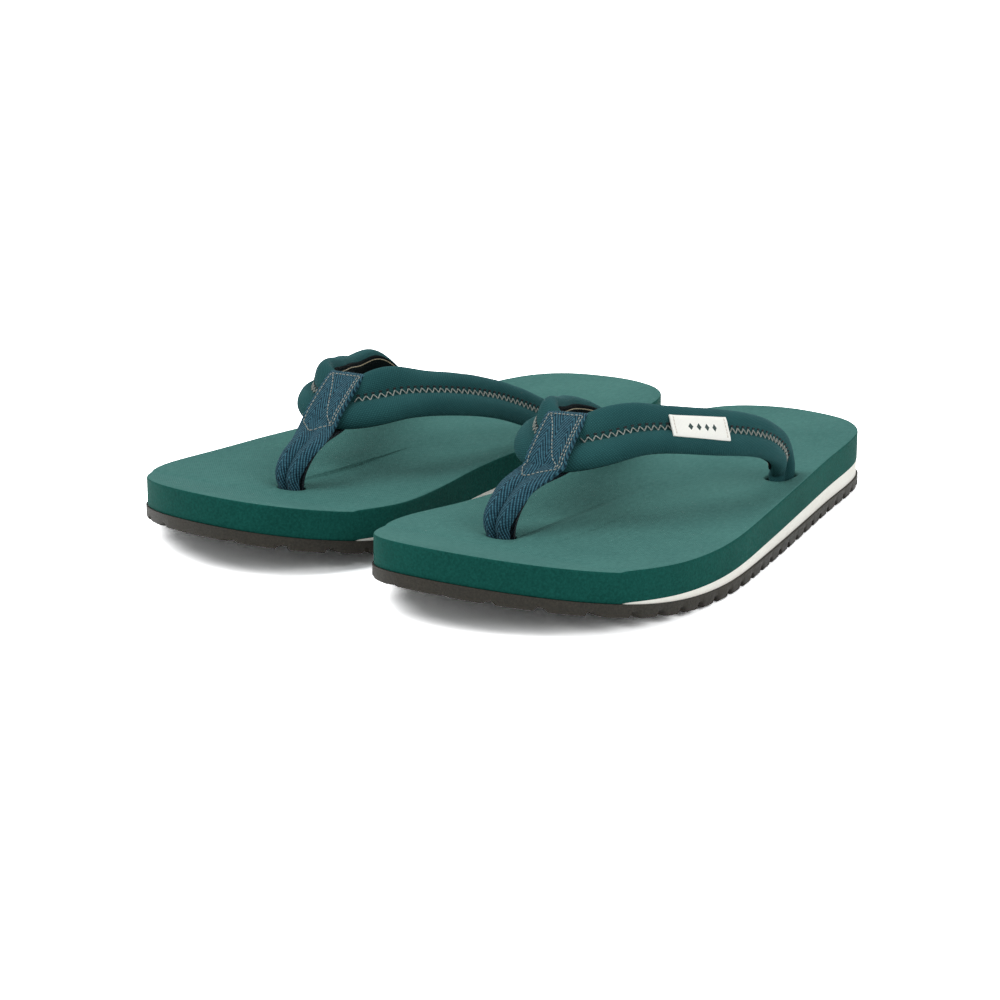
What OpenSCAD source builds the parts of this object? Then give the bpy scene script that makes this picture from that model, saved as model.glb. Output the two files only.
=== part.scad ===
// A pair of thong sandals: foam footbeds on rubber outsoles, with padded Y-shaped straps.
// Each shoe is drawn with its heel at y = 0, its toe towards +y and its outer side at +x.
// The pair then stands with its toes towards -Y and the left shoe at +X.
// Millimetres. The origin is the centre of the pair's footprint, on the ground.

/* [Pair] */
// Distance between the two shoes' long axes
pair_spacing = 99.6; // [98:0.2:160]
// How far the left shoe stands ahead of the right one
pair_stagger = 8; // [-40:1:40]

/* [Sole] */
// Length of the sole
sole_l = 270; // [225:5:325]
// Width of the sole across the ball
ball_w = 110; // [92:1:112]
// Thickness of the footbed at the heel
bed_heel_t = 12; // [10:0.5:18]
// Thickness of the footbed at the toe
bed_toe_t = 11; // [10:0.5:18]
// Thickness of the wedge at the heel
wedge_t = 6.4; // [3:0.2:12]
// Distance from the heel to the thin end of the wedge
wedge_l = 235; // [150:5:240]
// Total thickness of the outsole, with its lugs
outsole_t = 4.8; // [3.6:0.2:8]
// Depth of the grooves between the lugs
lug_h = 2.2; // [1:0.2:2.6]
// Distance from one row of lugs to the next
lug_pitch = 10.5; // [8:0.5:16]
// Width of the groove between two rows of lugs
lug_gap = 3; // [2:0.2:5]
// How far the outsole stands out past the footbed
outsole_lip = 0.6; // [0:0.1:1.5]
// Height of the toe tip above the ground
toe_spring = 13.6; // [4:0.2:20]
// Length of the sole's raised toe end
spring_l = 99; // [60:1:110]

/* [Strap] */
// Width of the strap at the instep
strap_w = 25; // [22:1:30]
// Width of the strap where it enters the footbed
strap_end_w = 13; // [12:0.5:16]
// Thickness of the strap over its padding
strap_t = 8.6; // [8:0.2:10.4]
// Thickness of the strap where it enters the footbed
strap_end_t = 6.4; // [6:0.1:8]
// Thickness of the knit cover
cover_t = 0.9; // [0.7:0.1:1.1]
// Thickness of the strap's lining
lining_t = 0.8; // [0.5:0.1:1.2]
// Width of the core tape inside the strap
tape_w = 8; // [5:0.5:9]
// Thickness of the core tape
tape_t = 1.2; // [0.8:0.1:1.4]
// Height of the strap's centre line above the footbed at the instep
strap_rise = 28; // [24:1:36]
// Distance from the heel to the strap's two side slots
slot_y = 96; // [80:1:110]
// Distance from the shoe's long axis to the outer side slot
outer_slot_x = 41; // [36:0.5:42]
// Distance from the shoe's long axis to the inner side slot
inner_slot_x = 29; // [24:0.5:30]

/* [Toe post] */
// Width of the toe webbing on the strap
web_w = 16; // [12:0.5:20]
// Width of the folded webbing at the toe hole
post_w = 10.5; // [8:0.5:12]
// Thickness of the toe webbing
web_t = 1.6; // [1:0.1:2]
// Thickness of the webbing's rear layer
web_liner_t = 1.2; // [0.8:0.1:1.6]
// Distance from the toe tip to the toe hole
post_back = 48; // [42:1:58]
// Distance from the shoe's long axis to the toe hole
post_x = 0.5; // [-6:0.5:6]

/* [Anchors] */
// Diameter of the disc that holds the toe post
toe_anchor_d = 20; // [17:1:26]
// Length of the plates that hold the strap's ends
side_anchor_l = 22; // [20:1:28]
// Width of the plates that hold the strap's ends
side_anchor_w = 14; // [12:1:16]
// Thickness of the anchors
anchor_t = 2.2; // [1.5:0.1:3]
// Free space around each anchor
fit_gap = 0.3; // [0.2:0.1:0.6]
// Free space between a strap's end and its slot
slot_play = 1.2; // [1:0.1:1.4]

/* [Thread and label] */
// Thickness of the sewing thread
thread_t = 0.8; // [0.5:0.1:1]
// Length of one zigzag stitch along the strap
zigzag_pitch = 4; // [3:0.5:8]
// Width of the zigzag across the strap
zigzag_w = 4; // [3:0.5:6]
// Length of the woven label along the strap
label_l = 23; // [16:1:28]
// Width of the woven label across the strap
label_w = 9.5; // [7:0.5:11]
// Thickness of the woven label
label_t = 0.7; // [0.5:0.1:1.2]

/* [Hidden] */
$fn = 48;

// ---- Outline of the sole, for a sole 270 long and 110 wide, from the heel up the outer side
OUTLINE = [[2, 0], [20, 4], [31.5, 14], [38, 30], [44, 62], [52, 100], [59.5, 137], [66, 174],
           [66.5, 207], [61, 230], [50, 246.5], [36, 258.5], [20, 266.5], [3, 270], [-13, 268.5],
           [-25.5, 260], [-35, 246.5], [-41, 230], [-43.5, 211], [-40.5, 184], [-36, 149],
           [-35, 113], [-38.5, 75], [-41, 42], [-37, 20.5], [-27.5, 7.5], [-13, 1]];
DRAWN_L = 270;
DRAWN_W = 110;
scale_x = ball_w / DRAWN_W;
scale_y = sole_l / DRAWN_L;
CURVE_STEPS = 4;

// Point on the smooth curve through b and c, with a and d as their neighbours
function curve(a, b, c, d, t) =
    0.5 * (2 * b + (c - a) * t + (2 * a - 5 * b + 4 * c - d) * t * t
           + (3 * b - 3 * c + d - a) * t * t * t);
function unit(v) = v / norm(v);
function loop_curve(p, steps) =
    let (n = len(p))
    [for (i = [0 : n - 1], s = [0 : steps - 1])
        curve(p[(i + n - 1) % n], p[i], p[(i + 1) % n], p[(i + 2) % n], s / steps)];
drawn_outline = loop_curve(OUTLINE, CURVE_STEPS);
outline_low = min([for (p = drawn_outline) p[1]]);
outline_high = max([for (p = drawn_outline) p[1]]);
outline_fit = DRAWN_L / (outline_high - outline_low);
sole_outline = [for (p = drawn_outline)
    [p[0] * scale_x, (p[1] - outline_low) * outline_fit * scale_y]];

// The sole's outline moved outwards by a distance
function grown_outline(grow) =
    let (n = len(sole_outline))
    [for (i = [0 : n - 1])
        let (along = unit(sole_outline[(i + 1) % n] - sole_outline[(i + n - 1) % n]))
        sole_outline[i] + grow * [along[1], -along[0]]];

// ---- Heights of the sole's layers above the ground, at a distance y from the heel
spring_y = sole_l - spring_l;
wedge_end = wedge_l * scale_y;
function ground_z(y) = y < spring_y ? 0 : toe_spring * pow((y - spring_y) / spring_l, 2);
function outsole_top_z(y) = ground_z(y) + outsole_t;
function wedge_top_z(y) =
    outsole_top_z(y) + (y < wedge_end ? wedge_t * sqrt(1 - max(y, 0) / wedge_end) : 0);
function bed_top_z(y) =
    wedge_top_z(y) + bed_heel_t + (bed_toe_t - bed_heel_t) * max(y, 0) / sole_l;

// Stations along the sole: close together where the wedge thins out and the toe rises
function stations(from, to, count) = [for (i = [0 : count]) from + (to - from) * i / count];
PAST = 6;
sole_stations = concat([-PAST], stations(0, spring_y, 12),
                       stations(spring_y + 8, wedge_end - 4, 5),
                       [wedge_end - 1.5, wedge_end], stations(wedge_end + 6, sole_l + PAST, 5));

// A slab across the whole sole between a lower and an upper line of heights
module slab(low, high) {
    line = concat([for (i = [0 : len(sole_stations) - 1]) [sole_stations[i], low[i]]],
                  [for (i = [len(sole_stations) - 1 : -1 : 0]) [sole_stations[i], high[i]]]);
    rotate([90, 0, 90])
        linear_extrude(height = 2 * sole_l, center = true)
            polygon(line);
}

// What lies inside the sole's outline, from below the ground to above the footbed
module outline_prism(grow) {
    translate([0, 0, -PAST])
        linear_extrude(height = 100)
            polygon(grown_outline(grow));
}

// ---- Where the strap and the toe post are held
post_y = sole_l - post_back;
function bed_underside_slope(y) = atan((wedge_top_z(y + 1) - wedge_top_z(y - 1)) / 2);
// Stands its children on the underside of the footbed, square to it
module on_underside(x, y) {
    translate([x, y, wedge_top_z(y)])
        rotate([bed_underside_slope(y), 0, 0])
            children();
}
slot_w = strap_end_t + 2 * slot_play;
slot_l = strap_end_w + 2 * slot_play;
post_hole_d = post_w + 2 * slot_play;
anchor_top = fit_gap + anchor_t;

// A plate with round ends, standing on z = 0, long along y
module round_plate(w, l, t) {
    linear_extrude(height = t) {
        square([w, l - w], center = true);
        translate([0, (l - w) / 2]) circle(d = w);
        translate([0, -(l - w) / 2]) circle(d = w);
    }
}

module slot_and_pocket(x) {
    on_underside(x, slot_y) {
        translate([0, 0, -1])
            round_plate(slot_w, slot_l, bed_heel_t + 12);
        translate([0, 0, -1])
            round_plate(side_anchor_w + 2 * fit_gap, side_anchor_l + 2 * fit_gap,
                        anchor_top + fit_gap / 3 + 1);
    }
}

// ---- Layers of the sole
module footbed() {
    color("cadetblue")
        difference() {
            intersection() {
                outline_prism(0);
                slab([for (y = sole_stations) wedge_top_z(y)],
                     [for (y = sole_stations) bed_top_z(y)]);
            }
            slot_and_pocket(outer_slot_x);
            slot_and_pocket(-inner_slot_x);
            on_underside(post_x, post_y) {
                translate([0, 0, -1]) cylinder(d = post_hole_d, h = bed_heel_t + 12);
                translate([0, 0, -1])
                    cylinder(d = toe_anchor_d + 2 * fit_gap, h = anchor_top + fit_gap / 3 + 1);
            }
        }
}

module heel_wedge() {
    color("ivory")
        intersection() {
            outline_prism(0);
            slab([for (y = sole_stations) outsole_top_z(y)],
                 [for (y = sole_stations) wedge_top_z(y)]);
        }
}

// Grooves across the sole, and one along its middle
lug_rows = floor(sole_l / lug_pitch);
module groove_pattern() {
    for (i = [1 : lug_rows])
        translate([0, i * lug_pitch])
            square([2 * ball_w, lug_gap], center = true);
    square([lug_gap, 2 * sole_l - 4 * lug_pitch], center = true);
}

module outsole() {
    color("darkslategray")
        difference() {
            intersection() {
                outline_prism(outsole_lip);
                slab([for (y = sole_stations) ground_z(y)],
                     [for (y = sole_stations) outsole_top_z(y)]);
            }
            intersection() {
                translate([0, 0, -PAST]) linear_extrude(height = 60) groove_pattern();
                slab([for (y = sole_stations) ground_z(y) - 1],
                     [for (y = sole_stations) ground_z(y) + lug_h]);
            }
        }
}

// ---- The strap's centre line
// Each row: share of the way out from the apex to the side slot (+ outer, - inner), share of
// the way from the side slots forward to the toe hole, and height as a share of the rise
STRAP_ROUTE = [[1.09, 0.08, 0.5], [1.1, 0.22, 0.8], [0.94, 0.39, 0.98], [0.56, 0.58, 1.03],
               [0, 0.735, 0.97], [-0.57, 0.61, 1.0], [-0.86, 0.44, 0.9], [-0.99, 0.27, 0.7],
               [-1.06, 0.11, 0.42]];
apex_x = post_x + 2.5;
MOUTH_RISE = 4.5;
SLOT_DEPTH = 4;
function across(s) = s > 0 ? apex_x + s * (outer_slot_x - apex_x)
                           : apex_x + s * (inner_slot_x + apex_x);
function route_point(r) =
    let (y = slot_y + r[1] * (post_y - slot_y))
    [across(r[0]), y, bed_top_z(y) + r[2] * strap_rise];
slot_top = bed_top_z(slot_y);
tail_end = wedge_top_z(slot_y) + anchor_top + fit_gap / 2;
function tail_point(x, z) = [x, slot_y, z];
strap_route = concat([tail_point(outer_slot_x, tail_end),
                      tail_point(outer_slot_x, slot_top - SLOT_DEPTH),
                      tail_point(outer_slot_x, slot_top + MOUTH_RISE)],
                     [for (r = STRAP_ROUTE) route_point(r)],
                     [tail_point(-inner_slot_x, slot_top + MOUTH_RISE),
                      tail_point(-inner_slot_x, slot_top - SLOT_DEPTH),
                      tail_point(-inner_slot_x, tail_end)]);
last = len(strap_route) - 1;

// Point on the strap's centre line: s counts the route's points, 0 to last
function strap_point(s) =
    let (i = min(floor(s), last - 1))
    curve(strap_route[max(i - 1, 0)], strap_route[i], strap_route[i + 1],
          strap_route[min(i + 2, last)], s - i);
function strap_along(s) = unit(strap_point(min(s + 0.02, last)) - strap_point(max(s - 0.02, 0)));
// Direction that the strap's outer face looks, square to the strap
FORWARD_LEAN = 0.8;
function strap_out(s) =
    let (p = strap_point(s), t = strap_along(s),
         up = max(p[2] - slot_top + SLOT_DEPTH, 0),
         n = [p[0] - apex_x, FORWARD_LEAN * up, up])
    unit(n - (n * t) * t);
function strap_across(s) = cross(strap_along(s), strap_out(s));

// The strap narrows evenly from its apex to both slots
COVER_FROM = 1;
COVER_TO = last - 1;
apex_s = last / 2;
function taper(s) = max(1 - abs(s - apex_s) / (apex_s - COVER_FROM), 0);
function width_at(s) = strap_end_w + (strap_w - strap_end_w) * pow(taper(s), 2);
function thick_at(s) = strap_end_t + (strap_t - strap_end_t) * taper(s);
// A place on the strap: s along it, u mm across it, v mm outwards
function on_strap(s, u, v) = strap_point(s) + u * strap_across(s) + v * strap_out(s);

// Half sections as shares of half the width and half the thickness
GROOVE = 0.45;
BELLY = 0.8;
ROLLS = [[1, 0], [0.9, 0.65], [0.6, 1], [0.3, 0.9], [0, GROOVE], [-0.3, 0.9], [-0.6, 1],
         [-0.9, 0.65], [-1, 0], [-0.85, -0.6], [-0.45, -BELLY], [0, -BELLY], [0.45, -BELLY],
         [0.85, -0.6]];

// Solid between rings of points. Its ends are closed in strips from one side of the ring to
// the other, so a ring that isn't quite flat still closes.
function strip_cap(n, start, turn) =
    [for (j = [0 : n / 2 - 2], half = [0, 1])
        let (a = start + j, b = start + j + 1, c = start + n - 2 - j, d = start + n - 1 - j,
             f = half == 0 ? [a, b, d] : [b, c, d])
        turn ? [f[2], f[1], f[0]] : f];
module skin(rings) {
    n = len(rings[0]);
    m = len(rings);
    polyhedron(
        points = [for (ring = rings, p = ring) p],
        faces = concat(
            [for (i = [0 : m - 2], j = [0 : n - 1], half = [0, 1])
                let (k = (j + 1) % n)
                half == 0 ? [i * n + j, i * n + k, (i + 1) * n + k]
                          : [i * n + j, (i + 1) * n + k, (i + 1) * n + j]],
            strip_cap(n, 0, true),
            strip_cap(n, (m - 1) * n, false)));
}

// Hollow solid between outer and inner rings with the same number of points
module shell(outer, inner) {
    n = len(outer[0]);
    m = len(outer);
    size = n * m;
    polyhedron(
        points = concat([for (ring = outer, p = ring) p], [for (ring = inner, p = ring) p]),
        faces = concat(
            [for (i = [0 : m - 2], j = [0 : n - 1], half = [0, 1])
                let (k = (j + 1) % n)
                half == 0 ? [i * n + j, i * n + k, (i + 1) * n + k]
                          : [i * n + j, (i + 1) * n + k, (i + 1) * n + j]],
            [for (i = [0 : m - 2], j = [0 : n - 1], half = [0, 1])
                let (k = (j + 1) % n, a = size + i * n, b = size + (i + 1) * n)
                half == 0 ? [a + j, b + k, a + k] : [a + j, b + j, b + k]],
            [for (j = [0 : n - 1], half = [0, 1])
                let (k = (j + 1) % n)
                half == 0 ? [j, size + k, k] : [j, size + j, size + k]],
            [for (j = [0 : n - 1], half = [0, 1])
                let (k = (j + 1) % n, a = (m - 1) * n, b = size + (m - 1) * n)
                half == 0 ? [a + j, a + k, b + k] : [a + j, b + k, b + j]]));
}

// Every layer of the strap has its rings at the same stations
STEPS = 3;
function strap_stations(from, to) = [for (i = [ceil(from * STEPS) : floor(to * STEPS)]) i / STEPS];
function roll_ring(s, inset) =
    [for (p = ROLLS)
        on_strap(s, p[0] * (width_at(s) / 2 - inset), p[1] * (thick_at(s) / 2 - inset))];

module strap_cover() {
    ss = strap_stations(COVER_FROM, COVER_TO);
    color("darkslategray")
        shell([for (s = ss) roll_ring(s, 0)], [for (s = ss) roll_ring(s, cover_t)]);
}

// Clear gap between two layers that lie on each other, and the wider one under the cover
SKIN_GAP = 0.25;
LINING_GAP = 0.4;
LINING_FROM = 2.34;
module strap_lining() {
    edge = [[0.8, -0.625], [0.45, -BELLY], [-0.45, -BELLY], [-0.8, -0.625]];
    function strip(s, drop) =
        [for (p = edge) on_strap(s, p[0] * width_at(s) / 2, p[1] * thick_at(s) / 2 - drop)];
    color("black")
        skin([for (s = strap_stations(LINING_FROM, last - LINING_FROM))
            let (top = strip(s, LINING_GAP), low = strip(s, LINING_GAP + lining_t))
            concat(top, [for (i = [3 : -1 : 0]) low[i]])]);
}

// The core tape lies in the strap's belly and runs down both slots to the anchors
TAPE_SEAT = -0.6;
function inner_h(s) = thick_at(s) / 2 - cover_t;
function tape_low(s) = TAPE_SEAT * inner_h(s);
module core_tape() {
    color("dimgray")
        skin([for (s = strap_stations(0, last))
            [on_strap(s, tape_w / 2, tape_low(s)), on_strap(s, tape_w / 2, tape_low(s) + tape_t),
             on_strap(s, -tape_w / 2, tape_low(s) + tape_t), on_strap(s, -tape_w / 2, tape_low(s))]]);
}

// Two foam rolls lie side by side over the tape, under the cover
FOAM_FROM = 3;
FOAM_SIDES = 10;
FOAM_TOP = 0.84;
module foam_roll(side) {
    function foam_ring(s) =
        let (half = width_at(s) / 2 - cover_t, low = tape_low(s) + tape_t + SKIN_GAP,
             high = FOAM_TOP * inner_h(s))
        [for (i = [0 : FOAM_SIDES - 1])
            let (a = 360 * i / FOAM_SIDES)
            on_strap(s, side * 0.5 * half + 0.42 * half * cos(a),
                     (low + high) / 2 + (high - low) / 2 * sin(a))];
    color("lightgray")
        skin([for (s = strap_stations(FOAM_FROM, last - FOAM_FROM)) foam_ring(s)]);
}
module front_foam_roll() foam_roll(1);
module rear_foam_roll() foam_roll(-1);

// ---- Thread: a four-sided strand along a path, with one direction to each side of it
module strand(path, out) {
    n = len(path);
    r = thread_t / 2;
    skin([for (i = [0 : n - 1])
        let (t = unit(path[min(i + 1, n - 1)] - path[max(i - 1, 0)]),
             o = unit(out[i] - (out[i] * t) * t), w = cross(t, o))
        [path[i] + r * w, path[i] + r * o, path[i] - r * w, path[i] - r * o]]);
}

// The zigzag runs from just above each slot to the toe webbing's edge
ZIGZAG_FROM = 2.6;
web_reach = (web_w / 2 + thread_t) / norm(strap_point(apex_s + 1) - strap_point(apex_s));
function zigzag_height(s) =
    let (rise = (0.9 - GROOVE) * (zigzag_w / 2) / (0.3 * width_at(s) / 2))
    (GROOVE + min(rise, 0.9 - GROOVE)) * thick_at(s) / 2 + thread_t / 2;
module zigzag(from, to) {
    length = norm(strap_point((from + to) / 2) - strap_point(from))
           + norm(strap_point(to) - strap_point((from + to) / 2));
    count = round(2 * length / zigzag_pitch);
    ss = [for (i = [0 : count]) from + (to - from) * i / count];
    strand([for (i = [0 : count])
               on_strap(ss[i], (i % 2 == 0 ? 1 : -1) * zigzag_w / 2, zigzag_height(ss[i]))],
           [for (s = ss) strap_out(s)]);
}
module zigzag_thread() {
    color("gainsboro") {
        zigzag(ZIGZAG_FROM, label_low);
        zigzag(label_high, apex_s - web_reach - 0.1);
        zigzag(apex_s + web_reach + 0.1, last - ZIGZAG_FROM);
    }
}

// ---- Woven label on the outer arm
LABEL_S = 5.25;
label_span = label_l / norm(strap_point(LABEL_S + 0.5) - strap_point(LABEL_S - 0.5));
label_low = LABEL_S - label_span / 2;
label_high = LABEL_S + label_span / 2;
LABEL_U = -2.6;
function label_v(s) = thick_at(s) / 2 + SKIN_GAP + label_t / 2;
module label() {
    color("whitesmoke")
        skin([for (i = [0 : 6])
            let (s = label_low + label_span * i / 6, v = label_v(s), h = label_t / 2)
            [on_strap(s, LABEL_U + label_w / 2, v - h), on_strap(s, LABEL_U + label_w / 2, v + h),
             on_strap(s, LABEL_U - label_w / 2, v + h), on_strap(s, LABEL_U - label_w / 2, v - h)]]);
}
module label_thread() {
    margin = 1.4 / label_l * label_span;
    color("tan")
        for (s = [label_low + margin, label_high - margin]) {
            v = label_v(s) + label_t / 2 + thread_t / 2 + SKIN_GAP / 3;
            strand([for (k = [-1 : 1]) on_strap(s, LABEL_U + k * (label_w / 2 - 1), v)],
                   [for (k = [-1 : 1]) strap_out(s)]);
        }
}

// ---- Toe webbing: over the strap's apex, down its front and through the toe hole
half_w = strap_w / 2;
// The bands stand off where the strap's two arms crowd together at the apex
CROWD = 1.6;
// How far the webbing stands off at shares of the strap's half width, rear edge to front edge
STAND_OFF = [[-0.72, CROWD], [-0.3, CROWD / 2], [0.3, 0], [0.72, 0]];
post_top = bed_top_z(post_y);
post_end = wedge_top_z(post_y) + anchor_top + fit_gap / 2;
layer_gap = (web_t + web_liner_t) / 4 + SKIN_GAP;
over_v = strap_t / 2 + SKIN_GAP + web_t / 2;
under_v = -(BELLY * strap_t / 2 + lining_t + 0.8 * CROWD + 2 * SKIN_GAP + web_liner_t / 2);
ACROSS = [-1, -0.5, 0, 0.5, 1];

// A row of points straight across a band of width w, laid at a place on the strap's apex
function row_on_strap(p, w) =
    [for (k = ACROSS) on_strap(apex_s, p[0], p[1]) - k * w / 2 * strap_along(apex_s)];
// The same between the strap and the toe hole: p holds y, z, width, and the bow of its edges
function free_row(p) =
    let (x = apex_x + (post_x - apex_x) * min(max((p[0] - post_y + 18) / 14, 0), 1))
    [for (k = ACROSS) [x + k * p[2] / 2, p[0] - p[3] * k * k, p[1]]];

// Moves each row of a band by a distance square to its own surface
function lifted(rows, by) =
    let (n = len(rows), m = len(ACROSS))
    [for (i = [0 : n - 1])
        [for (j = [0 : m - 1])
            let (down = rows[min(i + 1, n - 1)][j] - rows[max(i - 1, 0)][j],
                 side = rows[i][min(j + 1, m - 1)] - rows[i][max(j - 1, 0)])
            rows[i][j] + by * unit(cross(side, down))]];
module band(rows, t) {
    over = lifted(rows, -t / 2);
    under = lifted(rows, t / 2);
    skin([for (i = [0 : len(rows) - 1])
        concat(over[i], [for (j = [len(ACROSS) - 1 : -1 : 0]) under[i][j]])]);
}

web_on_strap = [[-half_w - 2, 1], [-half_w - 0.6, 0.7 * over_v + CROWD],
                for (p = STAND_OFF) [p[0] * half_w, over_v + p[1]],
                [half_w + 0.3, 0.62 * over_v], [half_w + 1.5, -0.2]];
web_rows = concat([for (p = web_on_strap) row_on_strap(p, web_w)],
                  [for (p = [[-16, 13.5, web_w - 1, 1.4], [-9, 8, web_w - 3.5, 0.8],
                             [-3, 4.4, post_w + 0.5, 0.2]])
                      free_row([post_y + p[0], post_top + p[1], p[2], p[3]])],
                  [free_row([post_y + layer_gap, post_top - 1, post_w, 0]),
                   free_row([post_y + layer_gap, post_end, post_w, 0])]);
liner_w = post_w - 1;
liner_on_strap = [[-0.45 * half_w, under_v], [0, under_v], [0.5 * half_w, under_v],
                  [half_w, 0.66 * under_v]];
liner_rows = concat([for (p = liner_on_strap) row_on_strap(p, liner_w)],
                    [for (p = [[-17, 10.2, liner_w, 1], [-10.5, 5.6, liner_w, 0.6],
                               [-5, 2, liner_w, 0.1]])
                        free_row([post_y + p[0], post_top + p[1], p[2], p[3]])],
                    [free_row([post_y - layer_gap, post_top - 2, liner_w, 0]),
                     free_row([post_y - layer_gap, post_end, liner_w, 0])]);
module toe_webbing() {
    color("steelblue") band(web_rows, web_t);
}
module toe_web_liner() {
    color("midnightblue") band(liner_rows, web_liner_t);
}

// Stitches round the patch of webbing that lies on the strap
module webbing_thread() {
    margin = 0.5 * thread_t + 1;
    lift = web_t / 2 + thread_t / 2 + SKIN_GAP;
    turns = [-0.66, -0.3, 0.3, 0.66];
    function at(k, u) =
        on_strap(apex_s, u * half_w, over_v + lift + lookup(u, STAND_OFF))
        - k * (web_w / 2 - margin) * strap_along(apex_s);
    out = strap_out(apex_s);
    color("gainsboro") {
        for (k = [-1, 1])
            strand([for (u = turns) at(k, u)], [for (u = turns) out]);
        for (u = [turns[0], turns[3]])
            strand([for (k = [-0.8, 0, 0.8]) at(k, u)], [out, out, out]);
    }
}

// ---- Anchors in their pockets under the footbed
module toe_anchor() {
    color("dimgray")
        on_underside(post_x, post_y)
            translate([0, 0, fit_gap]) cylinder(d = toe_anchor_d, h = anchor_t);
}
module side_anchor(x) {
    color("dimgray")
        on_underside(x, slot_y)
            translate([0, 0, fit_gap]) round_plate(side_anchor_w, side_anchor_l, anchor_t);
}
module outer_side_anchor() side_anchor(outer_slot_x);
module inner_side_anchor() side_anchor(-inner_slot_x);

// ---- Placing the two shoes
back_y = (sole_l + pair_stagger) / 2;
module left() {
    translate([pair_spacing / 2, back_y - pair_stagger, 0]) mirror([0, 1, 0]) children();
}
module right() {
    translate([-pair_spacing / 2, back_y, 0]) rotate(180) children();
}
module left_footbed() left() footbed();
module left_heel_wedge() left() heel_wedge();
module left_outsole() left() outsole();
module left_strap_cover() left() strap_cover();
module left_strap_lining() left() strap_lining();
module left_front_foam_roll() left() front_foam_roll();
module left_rear_foam_roll() left() rear_foam_roll();
module left_core_tape() left() core_tape();
module left_zigzag_thread() left() zigzag_thread();
module left_toe_webbing() left() toe_webbing();
module left_toe_web_liner() left() toe_web_liner();
module left_webbing_thread() left() webbing_thread();
module left_toe_anchor() left() toe_anchor();
module left_outer_side_anchor() left() outer_side_anchor();
module left_inner_side_anchor() left() inner_side_anchor();
module left_label() left() label();
module left_label_thread() left() label_thread();
module right_footbed() right() footbed();
module right_heel_wedge() right() heel_wedge();
module right_outsole() right() outsole();
module right_strap_cover() right() strap_cover();
module right_strap_lining() right() strap_lining();
module right_front_foam_roll() right() front_foam_roll();
module right_rear_foam_roll() right() rear_foam_roll();
module right_core_tape() right() core_tape();
module right_zigzag_thread() right() zigzag_thread();
module right_toe_webbing() right() toe_webbing();
module right_toe_web_liner() right() toe_web_liner();
module right_webbing_thread() right() webbing_thread();
module right_toe_anchor() right() toe_anchor();
module right_outer_side_anchor() right() outer_side_anchor();
module right_inner_side_anchor() right() inner_side_anchor();
module right_label() right() label();
module right_label_thread() right() label_thread();

left_footbed();
left_heel_wedge();
left_outsole();
left_strap_cover();
left_strap_lining();
left_front_foam_roll();
left_rear_foam_roll();
left_core_tape();
left_zigzag_thread();
left_toe_webbing();
left_toe_web_liner();
left_webbing_thread();
left_toe_anchor();
left_outer_side_anchor();
left_inner_side_anchor();
left_label();
left_label_thread();
right_footbed();
right_heel_wedge();
right_outsole();
right_strap_cover();
right_strap_lining();
right_front_foam_roll();
right_rear_foam_roll();
right_core_tape();
right_zigzag_thread();
right_toe_webbing();
right_toe_web_liner();
right_webbing_thread();
right_toe_anchor();
right_outer_side_anchor();
right_inner_side_anchor();
right_label();
right_label_thread();
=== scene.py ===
"""A pair of thong sandals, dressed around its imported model. Metres, except where a name ends in _mm."""

import math

import bmesh
import bpy
import numpy as np
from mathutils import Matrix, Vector


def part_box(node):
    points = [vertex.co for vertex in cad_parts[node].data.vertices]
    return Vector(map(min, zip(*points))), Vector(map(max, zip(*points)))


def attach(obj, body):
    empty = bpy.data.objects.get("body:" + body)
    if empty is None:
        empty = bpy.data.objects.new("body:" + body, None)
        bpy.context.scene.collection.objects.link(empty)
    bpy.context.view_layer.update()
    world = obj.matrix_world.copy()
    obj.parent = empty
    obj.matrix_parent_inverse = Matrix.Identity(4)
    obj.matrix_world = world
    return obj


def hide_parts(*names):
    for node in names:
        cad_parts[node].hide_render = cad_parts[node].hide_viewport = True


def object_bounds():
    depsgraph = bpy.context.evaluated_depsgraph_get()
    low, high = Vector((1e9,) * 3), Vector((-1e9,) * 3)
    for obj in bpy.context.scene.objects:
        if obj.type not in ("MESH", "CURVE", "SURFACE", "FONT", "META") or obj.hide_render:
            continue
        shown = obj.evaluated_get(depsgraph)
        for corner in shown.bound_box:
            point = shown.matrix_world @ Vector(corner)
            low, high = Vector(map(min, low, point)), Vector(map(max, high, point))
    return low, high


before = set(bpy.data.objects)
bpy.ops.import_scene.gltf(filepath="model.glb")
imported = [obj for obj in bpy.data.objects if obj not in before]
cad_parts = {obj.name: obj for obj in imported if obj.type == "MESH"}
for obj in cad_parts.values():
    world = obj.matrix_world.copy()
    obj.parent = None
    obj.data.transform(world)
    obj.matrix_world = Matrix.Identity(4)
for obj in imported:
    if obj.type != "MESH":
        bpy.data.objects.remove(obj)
cad_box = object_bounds()

MM = 0.001
SIDES = ("left", "right")


# ---- Camera and studio
VIEW_AZIMUTH = math.radians(35.0)
VIEW_ELEVATION = math.radians(15.4)
VIEW_DISTANCE = 0.972
VIEW_LENS = 88.2
AIM_OFFSET = Vector((-0.0210, 0.0104, 0.0))
FLOOR_SIZE = 12.0
FLOOR_GREY = (0.72, 0.72, 0.72, 1.0)
FLOOR_SEEN = (2.4, 2.4, 2.4, 1.0)
SKY_COLOUR = (0.95, 0.98, 1.0, 1.0)
SKY_STRENGTH = 0.53
LAMP_AIM = Vector((0, 0, 0.02))
# Name, place, width across and power in watts
LAMPS = (("key", (-0.7, -0.9, 1.5), 1.3, 20), ("side", (1.5, -0.3, 1.0), 1.2, 12),
         ("back", (-0.3, 1.5, 1.3), 1.2, 9))


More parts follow.
